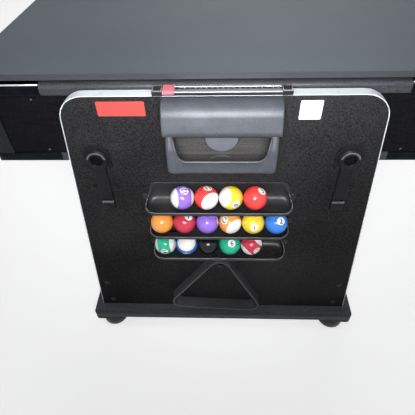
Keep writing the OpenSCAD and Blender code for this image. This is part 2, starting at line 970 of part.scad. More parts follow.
// A cushion on a rail face that lies on y = 0 and looks towards -Y, mitred by cut at each end
module cushion(length, cut_a, cut_b) {
    nose = pool_z + cushion_nose;
    intersection() {
        along_x(length)
            polygon([
                [0, pool_z + 10], [0, nose + 3], [-cushion_w + 1, nose + 1],
                [-cushion_w, nose], [-cushion_w, nose - 3], [-cushion_w * 0.3, pool_z + 10]]);
        translate([0, 0, pool_z])
            linear_extrude(pool_depth)
                polygon([[-length / 2, 0], [length / 2, 0],
                    [length / 2 - cut_b, -cushion_w], [-length / 2 + cut_a, -cushion_w]]);
    }
}

module cushions() {
    mouth = 6;
    corner_cut = cushion_w * 1.1;
    side_cut = cushion_w * 0.4;
    end_l = 2 * (half_w - casting_arm - mouth);
    side_low = pocket_r + mouth;
    side_high = half_l - casting_arm - mouth;
    color("#1d6a9c")
        on_body() {
            for (turn = [0, 180])
                rotate([0, 0, turn])
                    translate([0, inner_y, 0])
                        cushion(end_l, corner_cut, corner_cut);
            four_corners()
                translate([inner_x, (side_low + side_high) / 2, 0])
                    rotate([0, 0, -90])
                        cushion(side_high - side_low, corner_cut, side_cut);
        }
}

// A square block with round outer edges, set in the corner of the rails
module casting_block(low) {
    arm_x = half_w - casting_arm;
    arm_y = half_l - casting_arm;
    far = 2 * casting_arm;
    section = rounded(
        [[0, low], [far, low], [far, half_t], [0, half_t]],
        [rail_nose_r / 3, 0, 0, rail_nose_r]);
    intersection() {
        translate([0, 0, low - 1])
            linear_extrude(half_t - low + 2)
                polygon(rounded(
                    box_points(arm_x, arm_y, half_w, half_l),
                    [0, 0, casting_r, 0]));
        translate([half_w, half_l - casting_arm, 0])
            rotate([0, 0, -90])
                along_x(far)
                    polygon([for (p = section) [-p.x, p.y]]);
        translate([half_w - casting_arm, half_l, 0])
            along_x(far)
                polygon([for (p = section) [-p.x, p.y]]);
    }
}

module pool_casting() {
    difference() {
        casting_block(rail_low);
        translate([0, 0, rail_low - 1])
            cube([inner_x, inner_y, rail_t + 2]);
        translate([pocket_x, pocket_y, rail_low - 1])
            cylinder(r = pocket_r, h = rail_t + 2);
    }
}

// The hockey side's casting has a round inner corner and a rim that reaches the bed
module hockey_casting() {
    arm_x = half_w - casting_arm;
    arm_y = half_l - casting_arm;
    rim_x = inner_x + hockey_strip_w;
    rim_y = inner_y + hockey_strip_w;
    difference() {
        union() {
            casting_block(rail_low);
            translate([arm_x, arm_y, hockey_z])
                cube([rim_x - arm_x, rim_y - arm_y, rail_low - hockey_z + 1]);
        }
        translate([0, 0, hockey_z - 1])
            linear_extrude(half_t - hockey_z + 2)
                polygon(rounded(
                    box_points(0, 0, inner_x, inner_y),
                    [0, 0, min(hockey_corner_r, inner_x - arm_x - 1), 0]));
    }
}

module corner_castings() {
    color("silver")
        on_body()
            four_corners() {
                pool_casting();
                mirror([0, 0, 1])
                    hockey_casting();
            }
}

module corner_posts() {
    outer_x = half_w - 1;
    outer_y = half_l - 1;
    wrap = apron_inset - 1;
    color("#8b93a0")
        on_body()
            four_corners()
                translate([0, 0, -rail_low])
                    linear_extrude(2 * rail_low)
                        polygon(rounded([
                            [outer_x, outer_y - post_arm], [outer_x, outer_y],
                            [outer_x - post_arm, outer_y], [outer_x - post_arm, outer_y - wrap],
                            [outer_x - wrap, outer_y - wrap], [outer_x - wrap, outer_y - post_arm]],
                            [0, post_r, 1, 0, 0, 0]));
}

// A pocket cup whose wall is cut down to the bed on the side that the balls come from
module pocket_cup(mouth_turn) {
    low = pool_z - cup_depth;
    difference() {
        translate([0, 0, low])
            cylinder(r = pocket_r + cup_wall, h = rail_low - low);
        translate([0, 0, low + cup_wall])
            cylinder(r = pocket_r, h = rail_low - low);
        rotate([0, 0, mouth_turn])
            translate([-2 * pocket_r, -2 * pocket_r, pool_z])
                cube([2 * pocket_r + 22, 4 * pocket_r, rail_low]);
    }
}

module pocket_cups() {
    color("#0d0d0e")
        on_body() {
            four_corners()
                translate([pocket_x, pocket_y, 0])
                    pocket_cup(45);
            left_and_right()
                translate([side_pocket_x, 0, 0])
                    pocket_cup(0);
        }
}

// Trays behind the hockey side's end rails, open towards the hockey bed
module goal_boxes() {
    color("#0d0d0e")
        on_body()
            for (turn = [0, 180])
                rotate([0, 0, turn])
                    translate([-goal_w / 2, goal_y, -hockey_z])
                        difference() {
                            translate([-goal_wall, 0, 0])
                                cube([goal_w + 2 * goal_wall, goal_box_d, goal_box_h]);
                            translate([0, goal_wall, -1])
                                cube([goal_w, goal_box_d - 2 * goal_wall, goal_box_h - goal_wall + 1]);
                        }
}

// Fan on the inside of a side apron: an open housing, a motor, and straight vanes on a back ring
module blower() {
    vanes = 7;
    motor_r = 15;
    color("#0d0d0e")
        on_body()
            translate([apron_x - blower_l, blower_y, chamber_mid])
                rotate([0, 90, 0]) {
                    difference() {
                        cylinder(r = blower_r, h = blower_l);
                        translate([0, 0, 3])
                            cylinder(r = blower_r - 3, h = blower_l);
                    }
                    translate([0, 0, 2])
                        cylinder(r = motor_r, h = blower_l - 12);
                    for (i = [0:vanes - 1])
                        rotate([0, 0, i * 360 / vanes])
                            translate([motor_r - 1, -1, blower_l - 30])
                                cube([blower_r - motor_r - 5, 2, 18]);
                }
}

module blower_grille() {
    grille_t = apron_inset - 1;
    slots = 5;
    pitch = 12;
    color("#3b3d42")
        on_body()
            translate([apron_x + side_apron_t, blower_y, chamber_mid])
                rotate([0, 90, 0])
                    difference() {
                        cylinder(r = blower_r + 6, h = grille_t);
                        for (i = [0:slots - 1])
                            translate([(i - (slots - 1) / 2) * pitch - 3, -blower_r * 0.66, -1])
                                cube([6, blower_r * 1.32, grille_t + 2]);
                    }
}

// Spindle through the end apron and the bearing, with its end disc outside the panel
module spindle() {
    disc_back = -bearing_flange_t - disc_gap;
    translate([0, 0, axis_z]) {
        rod_y(spindle_r, disc_back - 1, apron_face + end_apron_t + 1);
        rod_y(disc_r, disc_back - disc_t, disc_back);
        rod_y(bearing_r, apron_face - collar_t, apron_face);
        rod_y(flange_r, apron_face + end_apron_t, apron_face + end_apron_t + 6);
    }
}

module pivot_spindles() {
    color("#6f7480") at_both_ends() spindle();
}

// One half of the loose top, with pads that rest on the rails
module top_half() {
    join = 0.25;
    pad_x = half_w - pad_edge;
    pad_y = [pad_inset, half_l / 2, half_l - pad_inset];
    translate([0, 0, top_low]) {
        linear_extrude(top_t)
            polygon(rounded(
                box_points(-half_w, -half_l, half_w, -join),
                [top_corner_r, top_corner_r, 0, 0]));
        for (y = pad_y)
            left_and_right()
                translate([pad_x, -y, -top_gap + seat])
                    cylinder(r = pad_r, h = top_gap);
    }
}

module front_top_half() {
    color("slategray") top_half();
}

module back_top_half() {
    color("slategray") rotate([0, 0, 180]) top_half();
}

// Levelling foot: a domed pad, a nut and a stem in the plinth
module foot(side) {
    nut_top = shoe_top - shoe_t - 0.1;
    nut_low = nut_top - foot_nut_h;
    translate([side * foot_x, plinth_mid, 0]) {
        rotate_extrude()
            polygon(concat(
                [[0, 0], [foot_r - 6, 0], [foot_r, 5]],
                ellipse([foot_nut_r, foot_pad_h], foot_r - foot_nut_r, nut_low - foot_pad_h, 0, 90, 9),
                [[0, nut_low]]));
        translate([0, 0, nut_low - 1])
            cylinder(r = foot_nut_r, h = foot_nut_h + 1, $fn = 6);
        cylinder(r = stem_r, h = stem_top);
    }
}

module front_left_foot() {
    color("#131316") at_front() foot(-1);
}

module front_right_foot() {
    color("#131316") at_front() foot(1);
}

module back_left_foot() {
    color("#131316") at_back() foot(1);
}

module back_right_foot() {
    color("#131316") at_back() foot(-1);
}

// Ball triangle, hung from its peg with the apex up
module ball_triangle() {
    outer = [[-triangle_side / 2, -triangle_h], [triangle_side / 2, -triangle_h], [0, 0]];
    middle = [0, -2 / 3 * triangle_h];
    shrink = 1 - triangle_wall / (triangle_h / 3);
    radii = [triangle_r, triangle_r, triangle_r];
    inner = [for (p = outer) middle + (p - middle) * shrink];
    inner_apex = inner[2].y - (triangle_r - triangle_wall);
    color("#1b1b1e")
        at_front()
            translate([-peg_left, 0, peg_z])
                rotate([0, triangle_tilt, 0])
                    translate([0, -peg_flange_t - seat, peg_r + seat - inner_apex])
                        along_y(-triangle_d, 0)
                            difference() {
                                polygon(rounded(outer, radii));
                                polygon(rounded(inner, radii - triangle_wall * [1, 1, 1]));
                            }
}

module ball(row, place) {
    start = -rack_left - rack_inner_w / 2 + seat + ball_r;
    at_front()
        translate([start + place * (ball_d + seat), -ball_u, upper_ball_z - row * rack_pitch])
            sphere(r = ball_r);
}

front_end_panel();
back_end_panel();
edge_trims();
front_plinth();
back_plinth();
stretchers();
pivot_bearings();
front_hood();
back_hood();
front_score_rail();
back_score_rail();
lock_housings();
upper_ball_rack();
middle_ball_rack();
lower_ball_rack();
triangle_peg();
panel_bolts();
side_aprons();
end_aprons();
bed_joists();
pool_bed();
hockey_bed();
pool_rails();
hockey_rails();
cushions();
corner_castings();
corner_posts();
pocket_cups();
goal_boxes();
blower();
blower_grille();
pivot_spindles();
front_top_half();
back_top_half();
front_score_slider();
back_score_slider();
front_left_lock_pin();
front_right_lock_pin();
back_left_lock_pin();
back_right_lock_pin();
front_left_foot();
front_right_foot();
back_left_foot();
back_right_foot();
ball_triangle();
for (b = balls)
    color(b[3]) ball(b[1], b[2]);
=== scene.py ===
# %% [markdown]
# # A revolving multi-game table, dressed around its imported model
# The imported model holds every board, pin and ball at its real size. This lesson gives each of them
# the surface that the real one has. The frame comes first, because every new piece is placed by it.

# %% Load the frame
import math

import bmesh
import bpy
import mathutils
import numpy as np
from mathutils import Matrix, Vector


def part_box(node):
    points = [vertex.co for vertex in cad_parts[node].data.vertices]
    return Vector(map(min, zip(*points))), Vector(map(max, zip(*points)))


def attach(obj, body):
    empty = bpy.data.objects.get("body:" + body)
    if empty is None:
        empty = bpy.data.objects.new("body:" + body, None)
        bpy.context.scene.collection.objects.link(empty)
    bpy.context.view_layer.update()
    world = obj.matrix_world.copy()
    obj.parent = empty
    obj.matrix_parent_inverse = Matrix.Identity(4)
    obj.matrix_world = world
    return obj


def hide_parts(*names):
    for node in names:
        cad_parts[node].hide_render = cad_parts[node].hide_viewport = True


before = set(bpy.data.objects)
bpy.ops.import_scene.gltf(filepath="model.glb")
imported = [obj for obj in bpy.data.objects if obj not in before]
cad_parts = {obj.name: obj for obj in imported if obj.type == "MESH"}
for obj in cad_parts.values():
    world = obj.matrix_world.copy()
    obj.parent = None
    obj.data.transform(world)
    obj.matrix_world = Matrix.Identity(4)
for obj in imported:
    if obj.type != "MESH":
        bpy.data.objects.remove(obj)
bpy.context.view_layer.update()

# %% [markdown]
# ## Places
# The end with the ball racks is the front. A place on either end panel is easiest to give as x across
# the panel, u out from its outer face and z above the floor, in millimetres. One function turns
# such places into metres, and turns the back end round to face the other way.

# %% Places on the end panels
MM = 0.001
ENDS = {"front": 1, "back": -1}


def node_box(node):
    """A node's lowest and highest corner in mm."""
    low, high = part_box(node)
    return np.array(low) / MM, np.array(high) / MM


panel_low, panel_high = (np.array(v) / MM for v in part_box("front_end_panel"))
PANEL_FACE = -panel_low[1]


def on_end(points, end):
    """(x, u, z) in mm to metres: y is minus the panel face minus u, and the back is turned half round."""
    points = np.asarray(points, float)
    way = ENDS[end]
    y = -(PANEL_FACE + points[..., 1])
    return np.stack([way * points[..., 0], way * y, points[..., 2]], -1) * MM


print("panel face", PANEL_FACE, "top", panel_high[2])

# %% [markdown]
# ## Making meshes
# Almost every piece here is a stack of rings: each ring is a row of points, and quads join it to the
# next. A lathe, a bar with round ends and a moulded tray are all such stacks, so one function makes
# the faces of them all as whole arrays. A mesh gets its normals turned outwards once, at birth.

# %% Rings to faces
SHARP_ANGLE = 35


def stack(rings, closed=True, caps=True):
    """Points and faces of a stack of rings: quads join points i and i + 1 of ring r to those of ring
    r + 1, round to the start where closed. Flat caps cover the first and the last ring where asked."""
    rings = np.asarray(rings, float)
    count, size = rings.shape[:2]
    index = np.arange(count * size).reshape(count, size)
    if closed:
        index = np.concatenate([index, index[:, :1]], 1)
    quads = np.stack([index[:-1, :-1], index[:-1, 1:], index[1:, 1:], index[1:, :-1]], -1)
    faces = quads.reshape(-1, 4).tolist()
    if caps:
        faces += [list(range(size - 1, -1, -1)), list(range((count - 1) * size, count * size))]
    return rings.reshape(-1, 3), faces


def joined(parts):
    """Several (points, faces) pairs as one: each part's faces count on from the points before it."""
    points, faces, first = [], [], 0
    for part_points, part_faces in parts:
        points.append(np.asarray(part_points).reshape(-1, 3))
        faces += [[i + first for i in face] for face in part_faces]
        first += len(points[-1])
    return np.concatenate(points), faces


def face_out(mesh):
    """Merges doubles and turns the faces outwards: away from the middle where the shell is open."""
    work = bmesh.new()
    work.from_mesh(mesh)
    bmesh.ops.remove_doubles(work, verts=work.verts, dist=1e-6)
    bmesh.ops.recalc_face_normals(work, faces=work.faces)
    if any(edge.is_boundary for edge in work.edges):
        middle = mathutils.Vector(np.mean([v.co for v in work.verts], 0))
        if sum(f.normal.dot(f.calc_center_median() - middle) * f.calc_area() for f in work.faces) < 0:
            bmesh.ops.reverse_faces(work, faces=work.faces)
    work.to_mesh(mesh)
    work.free()


def mesh_of(name, points, faces, outwards=True):
    """A mesh from an array of points in metres and a list of faces."""
    mesh = bpy.data.meshes.new(name)
    mesh.from_pydata(np.asarray(points).reshape(-1, 3).tolist(), [], faces)
    mesh.update()
    if outwards:
        face_out(mesh)
    return mesh


print("rings and meshes ready")


# %% Pieces that ride on a body
def put(name, data):
    """A new object in the scene that holds the data."""
    obj = bpy.data.objects.new(name, data)
    bpy.context.scene.collection.objects.link(obj)
    return obj


def rows(items, key):
    """A property with three numbers as an array, with a row for each of the mesh's items."""
    values = np.empty(3 * len(items))
    items.foreach_get(key, values)
    return values.reshape(-1, 3)


def sort_faces(mesh, pick):
    """Gives each face the material slot that pick works out from the centres in mm and the normals."""
    chosen = pick(rows(mesh.polygons, "center") / MM, rows(mesh.polygons, "normal"))
    mesh.polygons.foreach_set("material_index", np.asarray(chosen, "i4"))


def piece(name, mesh, body, materials, replaces, pick=None):
    """An object at the origin that rides on a body and wears its materials: smooth, but with sharp
    edges where the faces turn by more than the sharp angle."""
    obj = put(name, mesh)
    for material in materials:
        mesh.materials.append(material)
    mesh.polygons.foreach_set("use_smooth", np.ones(len(mesh.polygons), bool))
    mesh.set_sharp_from_angle(angle=math.radians(SHARP_ANGLE))
    mesh.update()
    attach(obj, body)
    if replaces:
        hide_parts(*replaces)
    if pick:
        sort_faces(mesh, pick)
    return obj


def made(name, parts, body, materials, replaces=(), end=None, outwards=True, pick=None):
    """One piece from parts in mm: in the model's own axes, on the end that is named, or on both ends."""
    if end is None:
        placed = [(np.asarray(points) * MM, faces) for points, faces in parts]
    else:
        placed = [(on_end(points, each), faces) for each in (ENDS if end == "both" else [end])
                  for points, faces in parts]
    points, faces = joined(placed)
    return piece(name, mesh_of(name, points, faces, outwards), body, materials, replaces, pick)


def bevel(obj, width_mm, segments, angle=40):
    """Rounds the edges that are sharper than the angle."""
    modifier = obj.modifiers.new("edges", "BEVEL")
    modifier.width = width_mm * MM
    modifier.segments = segments
    modifier.limit_method = "ANGLE"
    modifier.angle_limit = math.radians(angle)
    modifier.harden_normals = True


def thicken(obj, wall_mm):
    """Gives an open shell its wall, on the inside."""
    modifier = obj.modifiers.new("wall", "SOLIDIFY")
    modifier.thickness = wall_mm * MM
    modifier.offset = -1
    modifier.use_even_offset = False


print("mesh helpers ready")

# %% [markdown]
# ## Outlines
# Boards, trays and plates share a few outlines: a rectangle with round corners, and arcs. They are
# worked out with angles as arrays, always with the same number of points, so that rings of different
# sizes still match point by point.


# %% Outlines as arrays
def arc(centre, radius, start, stop, steps):
    """Points at centre + radius * (cos, sin) of evenly spaced angles, in degrees."""
    angle = np.radians(np.linspace(start, stop, steps))
    return np.stack([centre[0] + radius * np.cos(angle), centre[1] + radius * np.sin(angle)], -1)


def unit(vectors):
    """One vector, or one in each row, brought to length 1."""
    return vectors / np.maximum(np.linalg.norm(vectors, axis=-1, keepdims=True), 1e-9)


def linked(arcs, sides):
    """Arcs joined round into one outline, with evenly spaced points along each straight side between."""
    share = np.linspace(0, 1, sides + 2)[1:-1, None]
    return np.concatenate([part for here, there in zip(arcs, arcs[1:] + arcs[:1])
                           for part in (here, here[-1] * (1 - share) + there[0] * share)])


def soft_rectangle(x0, y0, x1, y1, radii, steps, sides=0):
    """Corner arcs from the lower left round anticlockwise, with extra points along the four sides."""
    corners = [(x0, y0, 1, 1, 180), (x1, y0, -1, 1, 270), (x1, y1, -1, -1, 0), (x0, y1, 1, -1, 90)]
    return linked([arc((x + sx * r, y + sy * r), r, turn, turn + 90, steps)
                   for (x, y, sx, sy, turn), r in zip(corners, np.maximum(radii, 0.01))], sides)


def lathe(profile, centre, axis, steps):
    """Turns (radius, height) pairs round an axis through the centre: axis y or z."""
    profile = np.asarray(profile, float)
    angle = np.linspace(0, 2 * np.pi, steps, endpoint=False)
    radius, height = profile[:, 0, None], profile[:, 1, None]
    across, up = radius * np.cos(angle), radius * np.sin(angle)
    along = height + 0 * across
    rings = np.stack([across, along, up] if axis == "y" else [across, up, along], -1)
    return rings + np.array(centre, float)


print("outline helpers ready")

# %% [markdown]
# ## Finishes
# A real surface is never one flat colour. Each finish below mixes two close colours by a noise at the
# scale of the real grain, varies the roughness the same way, and raises a little relief. Everything is
# read from Object coordinates, so that the pattern stays with the piece wherever it turns.


# %% Nodes in few words
class Nodes:
    """Short calls to add nodes to a tree."""

    def __init__(self, tree):
        self.tree = tree

    def feed(self, node, values):
        """Links each socket among the values to the input it names, and sets the others."""
        for key, value in values.items():
            if isinstance(value, bpy.types.NodeSocket):
                self.tree.links.new(value, node.inputs[key])
            else:
                node.inputs[key].default_value = value

    def node(self, kind, values=None, **options):
        """A new node of a kind, with its options set and the values fed to its inputs."""
        node = self.tree.nodes.new("ShaderNode" + kind)
        for key, value in options.items():
            setattr(node, key, value)
        self.feed(node, values or {})
        return node

    def math(self, operation, *values):
        """The result of one operation on numbers or sockets."""
        return self.node("Math", dict(enumerate(values)), operation=operation).outputs[0]

    def seen(self):
        """1 for camera, glossy and transmission rays, and 0 for the light that falls on things."""
        ray = self.node("LightPath").outputs
        either = self.math("MAXIMUM", ray["Is Camera Ray"], ray["Is Glossy Ray"])
        return self.math("MAXIMUM", either, ray["Is Transmission Ray"])


class Finish(Nodes):
    """A material, with short calls for the noises and mixes that a finish is made of."""

    def __init__(self, name, colour, roughness, metallic=0.0, shine=0.5, extra=()):
        self.material = bpy.data.materials.new(name)
        self.material.use_nodes = True
        self.material.diffuse_color = (*colour, 1)
        super().__init__(self.material.node_tree)
        self.shader = self.tree.nodes["Principled BSDF"]
        self.feed(self.shader, {"Base Color": (*colour, 1), "Roughness": roughness, "Metallic": metallic,
                                "Specular IOR Level": shine, **dict(extra)})
        self.place = self.node("TexCoord").outputs["Object"]

    def blend(self, first, second, share):
        """first * (1 - share) + second * share, for numbers."""
        parts = (self.math("MULTIPLY", *pair) for pair in ((first, 1 - share), (second, share)))
        return self.math("ADD", *parts)

    def mix(self, factor, first, second):
        """The same for colours, given as (red, green, blue) or as a socket."""
        first, second = ((*c, 1) if isinstance(c, tuple) else c for c in (first, second))
        return self.node("Mix", {0: factor, 6: first, 7: second}, data_type="RGBA").outputs[2]

    def stretched(self, along, share):
        """The place drawn together along one axis, if any, so that a noise makes streaks along it."""
        scale = [share if axis == along else 1.0 for axis in "xyz"]
        return self.node("Mapping", {"Vector": self.place, "Scale": scale}).outputs[0]

    def noise(self, scale, detail=4.0, rough=0.5, place=None):
        """A noise about 0.5, with roughly that many spots to a metre."""
        return self.node("TexNoise", {"Vector": place or self.place, "Scale": scale, "Detail": detail,
                                      "Roughness": rough}).outputs["Fac"]

    def ramp(self, factor, low, high, out_low=0.0, out_high=1.0):
        """The factor with low to high carried over to the two outer values, and held beyond them."""
        return self.node("MapRange", {"Value": factor, "From Min": low, "From Max": high,
                                      "To Min": out_low, "To Max": out_high}).outputs[0]

    def paint(self, colour, roughness=None, height=None, depth_mm=0.05):
        """Links what is given to the shader, the height as a relief of that depth."""
        self.feed(self.shader, {"Base Color": colour})
        if roughness is not None:
            self.feed(self.shader, {"Roughness": roughness})
        if height is not None:
            bump = self.node("Bump", {"Height": height, "Strength": 1.0, "Distance": depth_mm * MM})
            self.feed(self.shader, {"Normal": bump.outputs[0]})
        return self.material


print("nodes ready")


# %% Kinds of finish
def laminate(name, dark, light, along, roughness, shine, depth_mm=0.05):
    """Laminate: a close speckle over faint streaks along an axis, or over a wide cloud where it is None."""
    finish = Finish(name, dark, roughness, 0.0, shine)
    speckle = finish.noise(300.0, 4.0, 0.7)
    if along:
        cloud = finish.noise(160.0, 4.0, 0.6, finish.stretched(along, 0.06))
    else:
        cloud = finish.noise(4.0, 3.0)
    grain = finish.ramp(finish.blend(speckle, cloud, 0.3), 0.41, 0.59)
    gloss = finish.ramp(finish.noise(14.0), 0.3, 0.7, roughness - 0.05, roughness + 0.07)
    return finish.paint(finish.mix(grain, dark, light), gloss, speckle, depth_mm)


def moulded(name, dark, light, roughness, shine=0.3, texture=1400.0, depth_mm=0.03):
    """Moulded plastic: even colour with a faint cloud, and the spark-eroded texture of its mould."""
    finish = Finish(name, dark, roughness, 0.0, shine)
    cloud = finish.ramp(finish.noise(9.0, 3.0), 0.3, 0.7)
    pits = finish.noise(texture, 2.0, 0.6)
    gloss = finish.ramp(finish.noise(30.0), 0.3, 0.7, roughness - 0.04, roughness + 0.06)
    return finish.paint(finish.mix(cloud, dark, light), gloss, pits, depth_mm)


def pearl(name, dark, light, roughness, metallic, texture=700.0, depth_mm=0.035):
    """Plastic with metal flakes in it: close speckles of two greys, half metallic, over a fine texture."""
    finish = Finish(name, dark, roughness, metallic, 0.8)
    flakes = finish.noise(700.0, 3.0, 0.7)
    cloud = finish.noise(26.0, 3.0)
    grain = finish.ramp(finish.blend(flakes, cloud, 0.3), 0.36, 0.64)
    gloss = finish.ramp(flakes, 0.3, 0.7, roughness - 0.06, roughness + 0.08)
    return finish.paint(finish.mix(grain, dark, light), gloss, finish.noise(texture, 2.0, 0.5), depth_mm)


def metal(name, dark, light, roughness, along=None):
    """Metal: a light cloud, and brushed lines along one axis where one is given."""
    finish = Finish(name, light, roughness, 1.0)
    brushed = finish.noise(900.0 if along else 40.0, 3.0, 0.5, finish.stretched(along, 0.02))
    fleck = finish.ramp(brushed, 0.3, 0.7)
    gloss = finish.ramp(brushed, 0.3, 0.7, roughness - 0.05, roughness + 0.08)
    return finish.paint(finish.mix(fleck, dark, light), gloss, brushed, 0.01)


print("finish helpers ready")

# %% [markdown]
# ## The boards' finishes
# The end panels, aprons and rails are boards with a fine black laminate. In the light of a room such
# a black is really a dark grey with a speckle, so both of its colours are grey, and it mirrors little.
# The hood is a grey-blue plastic with metal flakes, and the castings are dark plate with a chrome bead.

# %% Laminates, plastics and metals
panel_laminate = laminate("panel_laminate", (0.010, 0.010, 0.0105), (0.036, 0.0352, 0.037),
                          None, 0.5, 0.012, 0.12)
plinth_laminate = laminate("plinth_laminate", (0.062, 0.063, 0.070), (0.115, 0.118, 0.129), "x", 0.4, 0.06)
rail_laminate_x, rail_laminate_y = (
    laminate(f"rail_laminate_{axis}", (0.024, 0.026, 0.030), (0.050, 0.053, 0.060), axis, 0.34, 0.25)
    for axis in "xy")
apron_laminate, end_laminate = (
    laminate(name, (0.004, 0.004, 0.005), (0.010, 0.010, 0.011), axis, 0.42, 0.02)
    for name, axis in (("apron_laminate", "y"), ("end_laminate", "x")))
bare_board = laminate("bare_board", (0.30, 0.20, 0.11), (0.52, 0.39, 0.24), "x", 0.7, 0.3)
hood_plastic = pearl("hood_plastic", (0.032, 0.037, 0.047), (0.082, 0.091, 0.110), 0.48, 0.40, 320.0, 0.2)
lock_plastic = moulded("lock_plastic", (0.006, 0.006, 0.007), (0.012, 0.012, 0.014), 0.34, 0.09)
rack_plastic = moulded("rack_plastic", (0.014, 0.014, 0.015), (0.026, 0.026, 0.028), 0.3, 0.2, 900, 0.015)
# A lighter, shinier copy of the rack plastic: a painted highlight for the racks' lips.
rack_painted_highlight = moulded("rack_painted_highlight", (0.110, 0.113, 0.120), (0.180, 0.184, 0.195), 0.26, 0.5, 900, 0.015)
# A lighter copy of the lock plastic: a painted highlight for the locks' rims and ledges.
lock_painted_highlight = moulded("lock_painted_highlight", (0.060, 0.061, 0.065), (0.110, 0.112, 0.118), 0.28, 0.4)
triangle_plastic = moulded("triangle_plastic", (0.056, 0.056, 0.062), (0.092, 0.092, 0.101), 0.3, 0.1)
cup_plastic = moulded("cup_plastic", (0.006, 0.006, 0.007), (0.012, 0.012, 0.014), 0.5, 0.2)
knob_plastic = moulded("knob_plastic", (0.002, 0.002, 0.002), (0.004, 0.004, 0.005), 0.4, 0.05)
foot_plastic = moulded("foot_plastic", (0.004, 0.004, 0.005), (0.009, 0.009, 0.011), 0.2, 0.4, 500, 0.01)
slider_plastic = moulded("slider_plastic", (0.56, 0.125, 0.160), (0.63, 0.176, 0.216), 0.34)
trim_plastic = moulded("trim_plastic", (0.62, 0.66, 0.72), (0.72, 0.76, 0.82), 0.3, 0.4, 700, 0.01)
cap_plastic = moulded("cap_plastic", (0.009, 0.010, 0.012), (0.017, 0.018, 0.022), 0.34, 0.2)
edge_chrome = metal("edge_chrome", (0.62, 0.64, 0.68), (0.80, 0.82, 0.86), 0.2)
dark_plate = metal("dark_plate", (0.006, 0.008, 0.011), (0.012, 0.015, 0.019), 0.34)
post_metal = metal("post_metal", (0.018, 0.022, 0.022), (0.032, 0.036, 0.036), 0.36, "z")
spindle_paint = pearl("spindle_paint", (0.110, 0.118, 0.145), (0.160, 0.170, 0.205), 0.45, 0.2)
bush_metal = metal("bush_metal", (0.030, 0.030, 0.033), (0.070, 0.070, 0.075), 0.42)
dark_steel = metal("dark_steel", (0.020, 0.020, 0.023), (0.060, 0.060, 0.066), 0.34)
bright_steel = metal("bright_steel", (0.16, 0.16, 0.17), (0.30, 0.30, 0.32), 0.25)
score_silver = metal("score_silver", (0.436, 0.449, 0.475), (0.554, 0.568, 0.594), 0.3, "x")
score_grey = moulded("score_grey", (0.24, 0.25, 0.28), (0.34, 0.355, 0.39), 0.45, 0.2)
score_dark = moulded("score_dark", (0.010, 0.011, 0.014), (0.020, 0.021, 0.026), 0.34, 0.2)
white_ink = moulded("white_ink", (0.50, 0.51, 0.53), (0.62, 0.63, 0.65), 0.5)
print(len(bpy.data.materials), "materials")

# %% [markdown]
# ## Cloth, playing boards and the loose top
# The pool bed is a board under blue cloth: the cloth is a fuzz of fine fibres with some sheen. The
# hockey bed is a slick white board with a grid of air holes, and its lines are worked out from the
# distance to the middle line and the centre circle. The loose top is plain slate grey, with a darker
# band round its edge.

# %% Cloth and printed boards
def cloth(name, dark, light):
    """Cloth: a fine noise for its fibres over a wide one for its nap, with a little sheen."""
    finish = Finish(name, dark, 0.85, 0.0, 0.2, {"Sheen Weight": 0.35})
    fibre = finish.noise(1500.0, 3.0, 0.7)
    nap = finish.noise(16.0, 3.0)
    tone = finish.ramp(finish.blend(fibre, nap, 0.4), 0.35, 0.65)
    return finish.paint(finish.mix(tone, dark, light), None, fibre, 0.12)


def near(finish, distance, half_width):
    """1 where a distance is under half_width, 0 outside, with a soft edge between."""
    edge = 0.4 * MM
    return finish.ramp(finish.math("ABSOLUTE", distance), half_width + edge, half_width - edge)


def air_board(name, pitch, hole_r, middle_w, circle_r):
    """White board: a hole in the middle of each square of the pitch, and a middle line and circle."""
    finish = Finish(name, (0.80, 0.82, 0.85), 0.22, extra={"Coat Weight": 0.3})
    x, y, _ = finish.node("SeparateXYZ", {"Vector": finish.place}).outputs

    def reach(a, b):
        return finish.math("SQRT", finish.math("ADD", finish.math("MULTIPLY", a, a),
                                               finish.math("MULTIPLY", b, b)))

    off = reach(*(finish.math("SUBTRACT", finish.math("FLOORED_MODULO", a, pitch), pitch / 2)
                  for a in (x, y)))
    hole = finish.ramp(off, hole_r + 0.0002, hole_r - 0.0002)
    ring = near(finish, finish.math("SUBTRACT", reach(x, y), circle_r), middle_w / 2)
    line = finish.math("MAXIMUM", near(finish, y, middle_w / 2), ring)
    faint = finish.ramp(finish.noise(5.0), 0.3, 0.7)
    board = finish.mix(faint, (0.76, 0.78, 0.81), (0.84, 0.86, 0.88))
    inked = finish.mix(line, board, (0.55, 0.03, 0.04))
    return finish.paint(finish.mix(hole, inked, (0.02, 0.02, 0.02)), None, finish.noise(700.0), 0.01)


def slate(name, dark, light, roughness):
    """Slate print: a fine speckle over soft clouds, under a matt lacquer."""
    finish = Finish(name, dark, roughness, 0.0, 0.25)
    speckle = finish.noise(520.0, 3.0, 0.65)
    cloud = finish.noise(3.0, 4.0)
    tone = finish.ramp(finish.blend(speckle, cloud, 0.45), 0.35, 0.65)
    gloss = finish.ramp(speckle, 0.3, 0.7, roughness - 0.04, roughness + 0.06)
    return finish.paint(finish.mix(tone, dark, light), gloss, speckle, 0.03)


pool_cloth = cloth("pool_cloth", (0.012, 0.120, 0.300), (0.030, 0.190, 0.420))
hockey_board = air_board("hockey_board", 0.0254, 0.0008, 0.008, 0.12)
slate_board = slate("slate_board", (0.046, 0.059, 0.070), (0.070, 0.087, 0.102), 0.58)
slate_edge = slate("slate_edge", (0.030, 0.034, 0.041), (0.050, 0.055, 0.064), 0.4)
print("playing surfaces ready")

# %% [markdown]
# ## Boards and metalwork with soft edges
# No board has a knife edge, and a soft edge is what catches the light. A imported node's mesh can't be
# changed, so each board is copied, its loose triangles are merged, flat neighbours are dissolved
# into one face, and a Bevel modifier rounds what is left. The copy then stands for the node. Where a
# board has faces of two kinds, a short rule on their places or directions picks the finish of each.

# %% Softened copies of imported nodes
FLAT_ANGLE = 0.5


